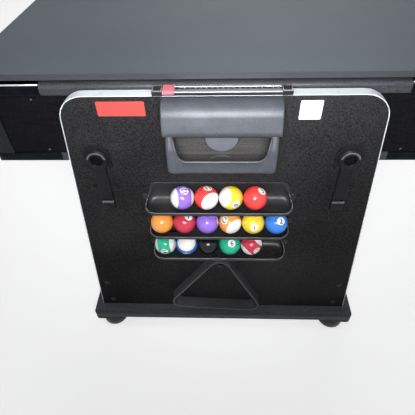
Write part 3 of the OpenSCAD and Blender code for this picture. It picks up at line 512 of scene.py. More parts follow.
def softened(node, body, slot, materials, width_mm, segments=2, pick=None):
    """Copies a node's mesh, merges and dissolves it, sorts its faces into materials and bevels it."""
    work = bmesh.new()
    work.from_mesh(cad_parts[node].data)
    bmesh.ops.remove_doubles(work, verts=work.verts, dist=2e-6)
    bmesh.ops.dissolve_limit(work, angle_limit=math.radians(FLAT_ANGLE), verts=work.verts,
                             edges=work.edges)
    mesh = bpy.data.meshes.new(node + "_finished")
    work.to_mesh(mesh)
    work.free()
    bevel(piece(node + "_finished", mesh, body, materials, [node], pick), width_mm, segments)


def end_rails(centres, normals):
    """1 on the rails across the table, 0 on those along it."""
    return np.abs(centres[:, 1]) > rail_ends


def top_sides(centres, normals):
    """1 on the edge band of the loose top, 0 on its two faces."""
    return np.abs(normals[:, 2]) < 0.5


def shoes(centres, normals):
    """1 on the moulded shoes under the plinth board, 0 on the board."""
    return centres[:, 2] < board_low


RAIL_W, SHOE_H, BOARD_T = 95, 10.0, 19.0
rail_ends = node_box("pool_rails")[1][1] - RAIL_W
board_low = node_box("front_plinth")[1][2] - BOARD_T - 0.1
boards = [
    ("front_end_panel", "frame", "black_laminate", [panel_laminate], 1.0),
    ("back_end_panel", "frame", "black_laminate", [panel_laminate], 1.0),
    ("stretchers", "frame", "black_laminate", [rail_laminate_y], 1.0),
    ("side_aprons", "play_body", "apron_laminate", [apron_laminate], 0.8),
    ("end_aprons", "play_body", "apron_laminate", [end_laminate], 0.8),
    ("cushions", "play_body", "cushion_rubber", [pool_cloth], 1.2),
    ("corner_posts", "play_body", "post_aluminium", [post_metal], 0.5),
    ("blower_grille", "play_body", "lock_plastic", [lock_plastic], 0.6),
    ("triangle_peg", "frame", "peg_metal", [dark_steel], 0.8)]
boards += [board for end in ENDS for board in (
    (f"{end}_plinth", "frame", "plinth_laminate", [plinth_laminate, lock_plastic], 1.4, 3, shoes),
    (f"{end}_top_half", f"{end}_top", "top_board", [slate_board, slate_edge], 1.6, 3, top_sides))]
boards += [(node, "play_body", "rail_laminate", [rail_laminate_y, rail_laminate_x], 0.8, 2, end_rails)
           for node in ("pool_rails", "hockey_rails")]
boards.append(("corner_castings", "play_body", "chrome_casting", [dark_plate], 1.3, 3))
for board in boards:
    softened(*board)
print(len(boards), "boards and castings softened")

# %% [markdown]
# Other nodes are right as they are and only need a finish: the beds inside their rims, the joists
# between them, the cups, and the bushes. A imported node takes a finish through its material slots.


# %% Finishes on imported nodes
def wear(node, material):
    """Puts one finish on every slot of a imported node."""
    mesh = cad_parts[node].data
    if not mesh.materials:
        mesh.materials.append(material)
    for index in range(len(mesh.materials)):
        mesh.materials[index] = material


for node, material in {
        "pool_bed": pool_cloth, "hockey_bed": hockey_board, "bed_joists": bare_board,
        "pocket_cups": cup_plastic, "goal_boxes": cup_plastic, "blower": cup_plastic,
        "pivot_bearings": bush_metal, "pivot_spindles": spindle_paint, "edge_trims": trim_plastic}.items():
    wear(node, material)
print("packed nodes dressed")

# %% [markdown]
# ## Bright beads on the castings
# A chrome bead runs under the outer edge of every corner casting on the pool side. It is a small circle
# carried along an arm, round the corner and along the other arm, with its tips drawn in.

# %% The beads
cast_high = node_box("corner_castings")[1]
CAST_ARM, CAST_R, BEAD_R, BEAD_IN, BEAD_DROP = 145.0, 15.0, 2.2, 3.4, 2.8


def bead(side_x, side_y, z, radius, inset):
    """A circle carried along an L whose corner is a quarter circle, with the two tips drawn in."""
    x1, y1, turn = cast_high[0] - inset, cast_high[1] - inset, CAST_R - inset
    low_x, low_y = cast_high[0] - CAST_ARM + 0.5, cast_high[1] - CAST_ARM + 0.5
    path = np.concatenate([[(x1, low_y), (x1, low_y + radius)],
                           arc((x1 - turn, y1 - turn), turn, 0, 90, 10),
                           [(low_x + radius, y1), (low_x, y1)]])
    ahead = unit(np.gradient(path, axis=0))
    across = np.stack([ahead[:, 1], -ahead[:, 0]], -1)
    girth = np.full(len(path), radius)
    girth[[0, -1]] *= 0.4
    angle = np.linspace(0, 2 * np.pi, 12, endpoint=False)
    flat = path[:, None] + (girth[:, None] * np.cos(angle))[..., None] * across[:, None]
    rings = np.concatenate([flat, (z + girth[:, None] * np.sin(angle))[..., None]], -1)
    return stack(rings * (side_x, side_y, 1))


beads = [bead(side_x, side_y, cast_high[2] - BEAD_DROP, BEAD_R, BEAD_IN)
         for side_x in (-1, 1) for side_y in (-1, 1)]
made("casting_beads", beads, "play_body", [edge_chrome])
print("casting beads", len(beads))

# %% [markdown]
# ## The hood
# Each end has a moulded hood over its pivot: an upper cover with a flat top and a round shoulder, and a
# lower frame with a window that leans out to a rolled lip. Both are a side view carried across the
# table. Towards each end the side view shrinks along a quarter circle, which rounds the end edge, and
# Solidify gives the shell its wall, so that the window looks into a real hollow.

# %% The hood's sizes from its node
hood_low, hood_high = node_box("front_hood")
HOOD_TOP, HOOD_FOOT = hood_high[2], hood_low[2]
HOOD_OUT = -hood_low[1] - PANEL_FACE
HOOD_WALL, COVER_GAP, FRAME_GAP = 4.0, 0.2, 0.4
EAR_REACH, EAR_H, EAR_T, EAR_DROP = 8.0, 14.0, 4.0, 31.0
COVER_W = hood_high[0] - hood_low[0] - 2 * EAR_REACH
COVER_H, COVER_SET, COVER_LEAN, SHOULDER_R, SHOULDER_IN = 58.2, 3.0, 10.0, 28.0, 6.0
COVER_FOOT, COVER_OUT = HOOD_TOP - COVER_H, HOOD_OUT - COVER_SET
ROLL_R, ROLL_TURN, COVER_EDGE, FRAME_EDGE = 14.0, 48.0, 3.0, 7.0
FRAME_HALF, FRAME_SET, FRAME_CORNER, LIP_R, LIP_LEAN = 104.5, 9.0, 9.0, 12.0, 20.0
HOLLOW_HALF, FLOOR_H, FLOOR_T, RECESS_R, RECESS_U, RECESS_DEPTH = 90.0, 19.0, 6.0, 27.0, 32.0, 2.0
WINDOW_SILL, WINDOW_H, WINDOW_TOP_HALF, WINDOW_FOOT_HALF = 35.0, 48.5, 89.5, 79.5
# The window's rolled rim: how far outside the window each ring lies, and how far it stands out.
WINDOW_ROLL = ((0, -1.2), (0.5, 0.1), (1.3, 0.9), (2.4, 1.2), (3.6, 0.9), (4.6, 0.2))
AXIS_Z = sum(corner[2] for corner in node_box("pivot_bearings")) / 2
print("hood", HOOD_TOP, HOOD_FOOT, HOOD_OUT, "cover width", COVER_W, "axis", AXIS_Z)

# %% A bar with round ends
def shrunk(outline, inset):
    """Moves each point of a closed anticlockwise outline inwards along the mean normal of its two sides."""
    before, after = np.roll(outline, 1, 0), np.roll(outline, -1, 0)
    normals = [unit(np.stack([-side[:, 1], side[:, 0]], -1))
               for side in (outline - before, after - outline)]
    mean = unit(normals[0] + normals[1])
    spread = np.clip((mean * normals[0]).sum(1), 0.5, 1)[:, None]
    return outline + mean * inset / spread


def end_inset(x, half, edge):
    """How far a side view is drawn in at x: a quarter circle of radius edge before the end at half."""
    past = np.clip((np.abs(x) - (half - edge)) / edge, 0, 1)
    return edge * (1 - np.sqrt(1 - past ** 2))


def cover_side():
    """Anticlockwise side view: foot, a roll at the foot, a leaning face, shoulder arc and flat top."""
    shoulder = (COVER_OUT - SHOULDER_R - SHOULDER_IN, HOOD_TOP - SHOULDER_R)
    roll = (COVER_OUT - ROLL_R, COVER_FOOT + ROLL_R * math.sin(math.radians(ROLL_TURN)))
    return np.concatenate([[(COVER_GAP, COVER_FOOT)], arc(roll, ROLL_R, -ROLL_TURN, COVER_LEAN, 14),
                           arc(shoulder, SHOULDER_R, COVER_LEAN, 90, 24), [(COVER_GAP, HOOD_TOP)]])


def cover_shell():
    """The side view at stations across, drawn in at both ends, open at its back and its foot."""
    outline = cover_side()
    near_end = COVER_W / 2 - COVER_EDGE * (1 - np.sin(np.radians(np.linspace(90, 0, 6))))
    rings = []
    for x in np.concatenate([-near_end, near_end[::-1]]):
        flat = shrunk(outline, end_inset(x, COVER_W / 2, COVER_EDGE))
        flat[[0, -1], 0] = COVER_GAP
        flat[:2, 1] = COVER_FOOT
        rings.append(np.insert(flat, 0, x, 1))
    points, faces = stack(rings, closed=False)
    return points, [face for face in faces if len(face) > 4 or min(i % len(outline) for i in face) > 0]


print("cover outline", len(cover_side()), "points")

# %% [markdown]
# The lower frame is a plate bent along its side view, with a window in it. It is easiest to draw flat:
# x runs across and s runs down the plate's surface. Rings go from the window's outline out to the
# plate's edge, and one function lifts each flat point onto the bent plate, drawing it in towards the
# two ends. Behind the window lie a thin board on the panel, and a floor with a round recess.

# %% The lower frame
def frame_side():
    """Side view from the cover down: leaning out, then round the lip and back to the panel."""
    lip = (HOOD_OUT - LIP_R, HOOD_FOOT + LIP_R)
    return np.concatenate([
        [(COVER_OUT - FRAME_SET, COVER_FOOT + 1), (HOOD_OUT - 2, HOOD_FOOT + WINDOW_SILL + 22)],
        arc(lip, LIP_R, LIP_LEAN, -90, 24), [(FRAME_GAP, HOOD_FOOT)]])


def side_lengths():
    """The side view's points and the length along it at each."""
    side = frame_side()
    return side, np.concatenate([[0], np.cumsum(np.linalg.norm(np.diff(side, axis=0), axis=1))])


def bent(flat, lift=0.0):
    """(x, s) to (x, u, z): the point at length s, moved in near the ends and out by lift; the foot's
    corners draw x in along a quarter circle."""
    side, length = side_lengths()
    way = unit(np.gradient(side, axis=0))
    inset = end_inset(flat[:, 0], FRAME_HALF, FRAME_EDGE) - lift
    u, z, du, dz = (np.interp(flat[:, 1], length, v) for v in (*side.T, *way.T))
    drop = np.clip((HOOD_FOOT + FRAME_CORNER - z) / FRAME_CORNER, 0, 1)
    narrow = 1 - FRAME_CORNER * (1 - np.sqrt(1 - drop ** 2)) / FRAME_HALF
    return np.stack([flat[:, 0] * narrow, np.maximum(u + dz * inset, FRAME_GAP), z - du * inset], -1)


def hood_frame():
    """Rings from the window to the plate's edge, then straight back to the panel at the two sides."""
    side, length = side_lengths()
    sill = HOOD_FOOT + WINDOW_SILL
    s_top, s_foot = np.interp([-sill - WINDOW_H, -sill], -side[:-1, 1], length[:-1])

    def window(grow):
        """A rectangle with round corners, drawn in towards its foot as the real window is."""
        flat = soft_rectangle(-WINDOW_TOP_HALF - grow, s_top - min(grow, 2), WINDOW_TOP_HALF + grow,
                              s_foot + grow, (4 + grow, 4 + grow, 15 + grow, 15 + grow), 10, 16)
        share = (flat[:, 1] - s_top) / (s_foot - s_top)
        narrow = 1 + (WINDOW_FOOT_HALF / WINDOW_TOP_HALF - 1) * share
        return np.stack([flat[:, 0] * narrow, flat[:, 1]], -1)

    edge = soft_rectangle(-FRAME_HALF, 0, FRAME_HALF, length[-1], (0.1,) * 4, 10, 16)
    rings = [bent(window(grow), lift) for grow, lift in WINDOW_ROLL]
    rolled = window(WINDOW_ROLL[-1][0])
    rings += [bent(rolled * (1 - t) + edge * t) for t in (0.15, 0.3, 0.45, 0.6, 0.75, 0.86, 0.93, 0.97, 1)]
    back = rings[-1].copy()
    back[:, 1] = FRAME_GAP
    points, faces = stack([*rings, back], caps=False)
    last_ring = (len(rings) - 1) * len(edge)
    at_end = np.abs(edge[:, 0]) > FRAME_HALF - 0.2
    return points, [face for face in faces
                    if face[0] < last_ring or at_end[np.array(face) % len(edge)].all()]


print("frame side view", len(frame_side()), "points")

# %% The floor and the board behind the window
RIM_W = 2.0


def polar_plate(x0, x1, y0, y1, centre, radii, heights):
    """Rings about a centre at given radii and heights, all kept RIM_W inside the rectangle's rim.

    The rim, where a radius is None, is the smaller of the two distances to the sides along each ray."""
    angle = np.linspace(0, 2 * np.pi, 120, endpoint=False)
    cos, sin = np.cos(angle), np.sin(angle)
    to_x = np.where(cos > 0, x1 - centre[0], centre[0] - x0) / np.maximum(np.abs(cos), 1e-9)
    to_y = np.where(sin > 0, y1 - centre[1], centre[1] - y0) / np.maximum(np.abs(sin), 1e-9)
    rim = np.minimum(to_x, to_y)
    rings = []
    for radius, height in zip(radii, heights):
        reach = rim if radius is None else np.minimum(rim - RIM_W, radius)
        flat = np.stack([centre[0] + reach * cos, centre[1] + reach * sin], -1)
        rings.append(np.insert(flat, 2, height, 1))
    return rings


def hood_floor():
    """A floor with a shallow round recess, whose edges are rounded a little, on a flat underside."""
    top = HOOD_FOOT + FLOOR_H
    low, sunk = top - FLOOR_T, top - RECESS_DEPTH
    return stack(polar_plate(-HOLLOW_HALF - 1, HOLLOW_HALF + 1, 0.9, HOOD_OUT - 4.6, (0, RECESS_U),
                             [0.5, None, None, RECESS_R + 0.6, RECESS_R, RECESS_R - 0.6, 0.5],
                             [low, low, top, top, top - 0.5, sunk, sunk]))


def hood_back():
    """A thin board on the panel behind the window, with a round hole for the bearing."""
    low, high = HOOD_FOOT + FLOOR_H - 3, COVER_FOOT + 20
    rings = polar_plate(-HOLLOW_HALF - 1, HOLLOW_HALF + 1, low, high, (0, AXIS_Z),
                        [35.0, None, None, 35.0], [0.15, 0.15, 0.8, 0.8])
    return stack([ring[:, [0, 2, 1]] for ring in rings + rings[:1]], caps=False)


print("well ready")


# %% Small plates and screws
def slab(x0, z0, x1, z1, radii, u0, u1, edge, corner=8):
    """A flat plate from u0 out to u1, whose outline shrinks along a quarter circle at its outer edge."""
    angle = np.radians(np.linspace(0, 90, 4))
    levels = [(u0, 0.0)] + [(u1 - edge + edge * np.sin(a), edge * (1 - np.cos(a))) for a in angle]
    return stack([np.insert(soft_rectangle(x0 + inset, z0 + inset, x1 - inset, z1 - inset,
                                           [max(r - inset, 0.05) for r in radii], corner), 1, u, 1)
                  for u, inset in levels])


def span(side, inner, outer, middle=0.0):
    """The lower and the higher x of what reaches from inner to outer on one side of a middle."""
    return sorted((middle + side * inner, middle + side * outer))


def pan_screw(x, z, u, radius):
    """A domed screw head with a dished middle, as a lathe about the panel's normal."""
    profile = [(radius, 0), (radius, 0.7), (radius * 0.8, 1.5), (radius * 0.4, 1.7),
               (radius * 0.3, 0.9), (0.01, 0.8)]
    return stack(lathe([(r, u + h) for r, h in profile], (x, 0, z), "y", 20))


def on_ends(name, parts, materials, replaces=()):
    """The same parts on both ends, as one piece for each end that rides on the frame."""
    return [made(f"{end}_{name}", parts, "frame", materials,
                 [node.format(end) for node in replaces], end) for end in ENDS]


print("small parts ready")

# %% Make the hoods
hood_board = laminate("hood_board", (0.044, 0.042, 0.043), (0.082, 0.079, 0.080), "x", 0.5, 0.1)
ears, ear_screws, cheeks = [], [], []
for z in (HOOD_TOP - EAR_DROP, AXIS_Z + 1):
    for side in (-1, 1):
        x0, x1 = span(side, COVER_W / 2 - 6, COVER_W / 2 + EAR_REACH)
        radii = (0.5, 6, 6, 0.5) if side > 0 else (6, 0.5, 0.5, 6)
        ears.append(slab(x0, z - EAR_H / 2, x1, z + EAR_H / 2, radii, COVER_GAP, EAR_T, 1.0))
        ear_screws.append(pan_screw(side * (COVER_W / 2 + 3.5), z, EAR_T, 2.6))
for side in (-1, 1):
    x0, x1 = span(side, HOLLOW_HALF, HOLLOW_HALF + 2)
    cheeks.append(slab(x0, HOOD_FOOT + FLOOR_H - 3, x1, COVER_FOOT + 4, (0.3,) * 4,
                       0.3, COVER_OUT - HOOD_WALL, 0.3))
for cover in on_ends("hood_cover", [cover_shell()], [hood_plastic], ["{}_hood"]):
    thicken(cover, HOOD_WALL)
    bevel(cover, 0.6, 2, 50)
for lower in on_ends("hood_frame", [hood_frame()], [hood_plastic]):
    thicken(lower, HOOD_WALL)
    bevel(lower, 0.9, 3, 50)
on_ends("hood_floor", [hood_floor(), *cheeks], [hood_board])
on_ends("hood_back", [hood_back()], [hood_board])
on_ends("hood_ears", ears, [lock_plastic])
on_ends("hood_screws", ear_screws, [dark_steel])
print("hoods made")

# %% [markdown]
# ## Rotation locks
# A lock is a moulding with a low domed boss round its knob and a strap down the panel. The boss is a
# lathe: an elliptical shoulder outside and a straight bore inside. The knob sits in the bore, and its
# cupped face is why the boss looks like a dark hole. The boss's upper rim and the ledge on the strap
# wear a second, lighter finish: a painted highlight along those edges.

# %% The locks
lock_low, lock_high = node_box("front_right_lock_pin")
LOCK_X = (lock_low[0] + lock_high[0]) / 2
LOCK_Z = (lock_low[2] + lock_high[2]) / 2
KNOB_R = (lock_high[0] - lock_low[0]) / 2
KNOB_OUT, KNOB_T, KNOB_RIM, PIN_R = -lock_low[1] - PANEL_FACE, 4.0, 1.0, 8.0
PIN_IN = lock_high[1] + PANEL_FACE
DOME_R, DOME_H, BORE_R, RIM_R = 25.0, 10.0, KNOB_R + 0.3, KNOB_R + 4.0
STRAP_L, STRAP_HALF, STRAP_T, FLANGE_HALF, FLANGE_T = 140.0, 13.5, 6.0, 28.0, 3.0
LEDGE_Z, LOCK_EAR_Z = -115.0, -79.8
# Each screw's place from the knob's middle, and the height of the face that it lies on.
LOCK_SCREWS = [(side * 21.5, z, FLANGE_T) for z in (-19.5, LOCK_EAR_Z) for side in (-1, 1)]
LOCK_SCREWS.append((0, -129, STRAP_T))


def lock_moulding(x):
    """Flange, boss, strap, ledge and two ears, round a middle at (x, LOCK_Z)."""
    shoulder = np.radians(np.linspace(0, 90, 14))
    outside = [(RIM_R + (DOME_R - RIM_R) * np.cos(a), DOME_H * np.sin(a)) for a in shoulder[1:]]
    profile = [(DOME_R, 0.2), *outside, (BORE_R + 0.8, DOME_H), (BORE_R, DOME_H - 0.8), (BORE_R, 0.2)]
    boss = stack(lathe(profile + profile[:1], (x, 0, LOCK_Z), "y", 72), caps=False)
    plates = ((FLANGE_HALF, -DOME_R - 1, DOME_R + 7, (5, 5, 26, 26), 0.2, FLANGE_T, 0.9, 16),
              (STRAP_HALF, -STRAP_L, 4 - DOME_R, (3, 3, 1, 1), 0.2, STRAP_T, 1.2),
              (STRAP_HALF - 0.2, LEDGE_Z - 3, LEDGE_Z + 3, (1,) * 4, STRAP_T - 1, STRAP_T + 3, 0.9),
              (FLANGE_HALF, LOCK_EAR_Z - 7, LOCK_EAR_Z + 7, (5,) * 4, 0.2, FLANGE_T, 0.9))
    return joined([boss, *(slab(x - half, LOCK_Z + low, x + half, LOCK_Z + high, *shape)
                           for half, low, high, *shape in plates)])


def lock_knob(x):
    """A cupped knob with a thin rolled rim, on its pin."""
    rim = arc((KNOB_R - KNOB_RIM, KNOB_OUT - KNOB_RIM), KNOB_RIM, 180, 0, 9)
    cup = KNOB_OUT - KNOB_T + 0.6
    profile = [(0.01, cup), (KNOB_R * 0.6, cup), (KNOB_R - 2.6 * KNOB_RIM, cup + 0.6), *rim,
               (KNOB_R, KNOB_OUT - KNOB_T), (PIN_R, KNOB_OUT - KNOB_T), (PIN_R, -PIN_IN), (0.01, -PIN_IN)]
    return stack(lathe(profile, (x, 0, LOCK_Z), "y", 48))


def rubbed_edges(centres, normals):
    """1 on the upper half of the boss's rim and on the ledge's face, which wear a painted highlight, 0
    elsewhere.
    """
    u, z = np.abs(centres[:, 1]) - PANEL_FACE, centres[:, 2] - LOCK_Z
    reach = np.hypot(np.abs(centres[:, 0]) - LOCK_X, z)
    rim = (u > DOME_H - 0.7) & (reach > RIM_R - 0.3) & (z > 3)
    return rim | ((u > STRAP_T + 2.0) & (np.abs(z - LEDGE_Z) < 3.5))


print("lock shapes ready")

# %% Make the locks
# The boss's upper rim and the ledge take the lighter finish, a painted highlight.
made("lock_mouldings", [lock_moulding(side * LOCK_X) for side in (-1, 1)], "frame",
     [lock_plastic, lock_painted_highlight], ["lock_housings"], "both", pick=rubbed_edges)
made("lock_screws", [pan_screw(side * LOCK_X + dx, LOCK_Z + dz, out, 2.3)
                     for side in (-1, 1) for dx, dz, out in LOCK_SCREWS],
     "frame", [dark_steel], end="both")
for end, way in ENDS.items():
    for side, hand in ((-1, "left"), (1, "right")):
        name = f"{end}_{hand}_lock_pin"
        made(name + "_knob", [lock_knob(side * way * LOCK_X)], f"{end}_{hand}_lock",
             [knob_plastic], [name], end)
print("locks made")

# %% [markdown]
# ## Ball racks
# A rack is a moulded tray. Seen from above it is a rectangle whose front corners are well rounded, so it
# is made of rings of that outline: up the outside, over the lip, down the inside and in over the
# floor. Two formulas in u alone give its heights: the floor follows the balls' circle and then rises
# gently, and the rim dips from the back's full height in a quarter ellipse down to the lip.

# %% Rack sizes from its nodes
rack_low, rack_high = node_box("upper_ball_rack")
ball_low, ball_high = node_box("ball_05")
BALL_R = (ball_high[2] - ball_low[2]) / 2
BALL_U = -(ball_low[1] + ball_high[1]) / 2 - PANEL_FACE
RACK_OUT = -rack_low[1] - PANEL_FACE
RACK_MID = (rack_low[0] + rack_high[0]) / 2
SEAT, RACK_WALL, RACK_EAR, RACK_EAR_T = 0.3, 3.0, 10.0, 4.0
LIP_RISE, BACK_RISE, CORNER_R = 11.0, 20.0, 26.0
RACK_HALF = (rack_high[0] - rack_low[0]) / 2 - RACK_EAR
print("rack", RACK_MID, RACK_HALF, RACK_OUT, "ball", BALL_R, BALL_U)

# %% One rack
def rim_height(u, ball_z):
    """The back's full height, dipping in a quarter ellipse to the lip over the balls' middle line."""
    lip = ball_z - BALL_R - SEAT + LIP_RISE
    depth = np.clip((BALL_U - u) / (BALL_U - 5), 0, 1)
    return ball_z + BACK_RISE - (ball_z + BACK_RISE - lip) * np.sqrt(1 - depth ** 2)


def polished_lip(ball_z):
    """A rule for one rack: 1 on the faces at its rim, which wear a lighter finish as a painted highlight, 0
    elsewhere.
    """
    def pick(centres, normals):
        u = -centres[:, 1] - PANEL_FACE
        return ((centres[:, 2] > rim_height(u, ball_z) - 0.6) & (u > 20)
                & (np.abs(centres[:, 0] - RACK_MID) < RACK_HALF))
    return pick


def rack_tray(ball_z):
    """Rings of the tray's outline, with heights from rim(u) on the walls and floor(u) + fillet inside."""
    low = ball_z - BALL_R - SEAT - RACK_WALL
    base, fillet, half_wall = 12.0, 7.0, RACK_WALL / 2

    def rim(u):
        return rim_height(u, ball_z)

    def floor(u):
        reach = BALL_R + SEAT
        drop = np.sqrt(np.maximum(reach ** 2 - np.minimum(u - BALL_U, 0) ** 2, 0))
        return ball_z - drop + 5.0 * (np.maximum(u - BALL_U, 0) / 30) ** 2

    def ring(inset, height):
        corner = max(CORNER_R - inset, 4)
        flat = soft_rectangle(RACK_MID - RACK_HALF + inset, 0.3 + inset, RACK_MID + RACK_HALF - inset,
                              RACK_OUT - inset, (24 - inset / 2, 24 - inset / 2, corner, corner), 16, 24)
        return np.stack([flat[:, 0], flat[:, 1], height(flat[:, 1])], -1)

    rings = [ring(base + 1, lambda u: low + 0 * u)]
    for turn in np.radians(np.linspace(0, 90, 7)):
        rings.append(ring(base * (1 - np.sin(turn)),
                          lambda u, t=turn: low + base * (1 - np.cos(t)) + 0 * u))
    for turn in np.radians(np.linspace(0, 180, 9)):
        rings.append(ring(half_wall - half_wall * np.cos(turn),
                          lambda u, t=turn: rim(u) - half_wall + half_wall * np.sin(t)))
    for turn in np.radians(np.linspace(0, 90, 8)):
        rings.append(ring(RACK_WALL + fillet * (1 - np.cos(turn)), lambda u, t=turn: np.minimum(
            floor(u) + fillet * (1 - np.sin(t)), rim(u) - half_wall)))
    rings += [ring(inset, floor) for inset in (13, 17, 22, 27)]
    return stack(rings)


print("rack shape ready")

# %% Make the racks
for node in ("upper_ball_rack", "middle_ball_rack", "lower_ball_rack"):
    ball_z = node_box(node)[0][2] + RACK_WALL + SEAT + BALL_R
    ear_z = ball_z - BALL_R - SEAT + LIP_RISE - 6
    parts, screws = [rack_tray(ball_z)], []
    for side in (-1, 1):
        x0, x1 = span(side, RACK_HALF - 1, RACK_HALF + RACK_EAR, RACK_MID)
        parts.append(slab(x0, ear_z - 8, x1, ear_z + 8, (3, 3, 3, 3), 0.2, RACK_EAR_T, 1.2))
        screws.append(pan_screw(RACK_MID + side * (RACK_HALF + 5), ear_z, RACK_EAR_T, 2.2))
    # The lips' faces take the lighter finish, a painted highlight.
    made(node + "_moulding", parts, "frame", [rack_plastic, rack_painted_highlight], [node], "front",
         pick=polished_lip(ball_z))
    made(node + "_screws", screws, "frame", [dark_steel], end="front")
print("racks made")

# %% [markdown]
# ## Balls
# A pool ball is a polished sphere with a coloured band or an all-over colour, and a white spot for its
# number. Each ball lies as it rolled, so each has its own spot and band directions. Every point stores
# its place in the ball's own axes, and the finish reads that: the height along the band's axis tells the
# band from the white caps, and the closeness to the spot's direction draws the spot.


# %% The balls' finish
SPOT_COS, BAND_HALF, NUMBER_MM, NUMBER_EDGE, NUMBER_LIFT = 0.937, 0.56, 16.0, 1.6, 0.04


def ball_finish(name, colour, striped):
    """Band where |z| < BAND_HALF of the radius, or colour all over, and a white spot where x > SPOT_COS."""
    finish = Finish(name, colour, 0.07, 0.0, 0.35)
    own = finish.node("Attribute", attribute_name="own_place").outputs["Vector"]
    along_x, _, along_z = finish.node("SeparateXYZ", {"Vector": own}).outputs
    cloud = finish.ramp(finish.noise(60.0), 0.3, 0.7)
    paint = finish.mix(cloud, tuple(0.88 * c for c in colour), colour)
    ivory = finish.mix(cloud, (0.80, 0.79, 0.76), (0.86, 0.85, 0.83))
    if striped:
        cap = finish.ramp(finish.math("ABSOLUTE", along_z), BAND_HALF - 0.012, BAND_HALF + 0.012)
        paint = finish.mix(cap, paint, ivory)
    spot = finish.ramp(along_x, SPOT_COS - 0.004, SPOT_COS + 0.004)
    scratches = finish.ramp(finish.noise(220.0), 0.35, 0.75, 0.05, 0.11)
    return finish.paint(finish.mix(spot, paint, ivory), scratches)


print("ball finish ready")

# %% How each ball lies
BALL_COLOURS = {
    "yellow": (0.96, 0.66, 0.045), "blue": (0.045, 0.220, 0.760), "red": (0.92, 0.060, 0.055),
    "purple": (0.300, 0.160, 0.700), "orange": (0.96, 0.340, 0.070), "green": (0.022, 0.470, 0.270),
    "maroon": (0.560, 0.040, 0.080), "black": (0.008, 0.008, 0.009)}
COLOUR_ORDER = list(BALL_COLOURS)

# Number: (spot right, spot up, band axis right, band axis up, band axis towards the eye), for an eye
# that looks down at the balls by EYE_DOWN.
EYE_DOWN = math.radians(45)
BALL_LIES = {
    12: (0.42, 0.55, -0.93, -0.10, 0.35), 11: (-0.10, 0.95, 0.55, -0.55, 0.62),
    9: (0.42, -0.62, -0.80, 0.05, 0.55), 3: (0.52, 0.55, 0, 1, 0),
    5: (-0.80, -0.85, 0, 1, 0), 7: (0.42, 0.50, 0, 1, 0), 4: (0.98, 0.15, 0, 1, 0),
    13: (-0.75, 0.50, 0.55, -0.60, 0.50), 1: (0.05, -0.45, 0, 1, 0), 2: (0.30, 0.15, 0, 1, 0),
    14: (0.05, -0.72, 0.97, 0.10, 0.10), 10: (0.00, -0.85, 0.05, 0.30, 0.95), 8: (-0.60, 0.85, 0, 1, 0),
    6: (0.18, 0.15, 0, 1, 0), 15: (0.10, -0.85, 0.62, 0.66, 0.10)}


def ball_axes(number):
    """Spot, third and band axes as rows, turned from the eye's right, up and nearer into the model."""
    right = np.array([1.0, 0, 0])
    nearer = np.array([0, -math.cos(EYE_DOWN), math.sin(EYE_DOWN)])
    up = np.cross(nearer, right)
    spot_right, spot_up, *band = BALL_LIES[number]
    spot = spot_right * right + spot_up * up
    spot = spot + math.sqrt(max(0.04, 1 - spot @ spot)) * nearer
    band = band[0] * right + band[1] * up + band[2] * nearer
    if number <= len(COLOUR_ORDER):
        spot = unit(spot)
        band = up - (up @ spot) * spot
    band = unit(band)
    spot = unit(spot - (spot @ band) * band)
    return np.array([spot, np.cross(band, spot), band])


print(len(BALL_LIES), "balls, and how they lie")


# %% Numbers
def numeral(text, size_mm):
    """A number from the built-in font as points in mm about its middle, and faces with short edges.

    Short edges let the number follow a ball: a long one would cut under its surface."""
    curve = bpy.data.curves.new("numeral", "FONT")
    curve.body = text
    curve.size = size_mm
    curve.offset = 0.012 * size_mm
    curve.resolution_u = 3
    holder = put("numeral", curve)
    bpy.context.view_layer.update()
    mesh = bpy.data.meshes.new_from_object(holder)
    work = bmesh.new()
    work.from_mesh(mesh)
    for _ in range(4):
        bmesh.ops.triangulate(work, faces=work.faces)
        long = [edge for edge in work.edges if edge.calc_length() > NUMBER_EDGE]
        bmesh.ops.subdivide_edges(work, edges=long, cuts=1)
    bmesh.ops.triangulate(work, faces=work.faces)
    work.to_mesh(mesh)
    work.free()
    points = rows(mesh.vertices, "co")[:, :2]
    faces = [list(face.vertices) for face in mesh.polygons]
    bpy.data.objects.remove(holder)
    bpy.data.curves.remove(curve)
    bpy.data.meshes.remove(mesh)
    return points - (points.min(0) + points.max(0)) / 2, faces


print("numbers ready")

# %% Make the balls
black_ink = moulded("black_ink", (0.010, 0.010, 0.012), (0.022, 0.022, 0.026), 0.2)
latitude = np.linspace(-np.pi / 2, np.pi / 2, 49)
globe = lathe(np.stack([np.maximum(np.cos(latitude), 1e-6), np.sin(latitude)], -1), (0, 0, 0), "z", 72)
ball_finishes = {}
for number in range(1, 16):
    node, striped = f"ball_{number:02d}", number > len(COLOUR_ORDER)
    colour = COLOUR_ORDER[(number - 1) % len(COLOUR_ORDER)]
    key = f"ball_{colour}_{'band' if striped else 'plain'}"
    if key not in ball_finishes:
        ball_finishes[key] = ball_finish(key, BALL_COLOURS[colour], striped)
    middle, axes = sum(node_box(node)) / 2, ball_axes(number)
    points, faces = stack(BALL_R * (globe @ axes) + middle, caps=False)
    mesh = mesh_of(node, points * MM, faces)
    own = ((rows(mesh.vertices, "co") / MM - middle) / BALL_R) @ axes.T
    mesh.attributes.new("own_place", "FLOAT_VECTOR", "POINT").data.foreach_set("vector", own.ravel())
    piece(node + "_polished", mesh, node, [ball_finishes[key]], [node])
    flat, faces = numeral(str(number), NUMBER_MM)
    flat = flat / BALL_R
    on_ball = np.insert(flat, 0, np.sqrt(1 - (flat ** 2).sum(1)), 1)
    made(node + "_number", [(on_ball @ axes * (BALL_R + NUMBER_LIFT) + middle, faces)], node,
         [black_ink], outwards=False)
print("ball finishes", sorted(ball_finishes))

# %% [markdown]
# ## Triangle
# The triangle is a moulded frame: a triangle with round corners, drawn in by the wall for its inside. Its
# section is a tall rectangle with round edges. Each point of the section gives how far a ring is drawn
# in and how far it stands out, so the frame is a stack of rings whose last meets its first.

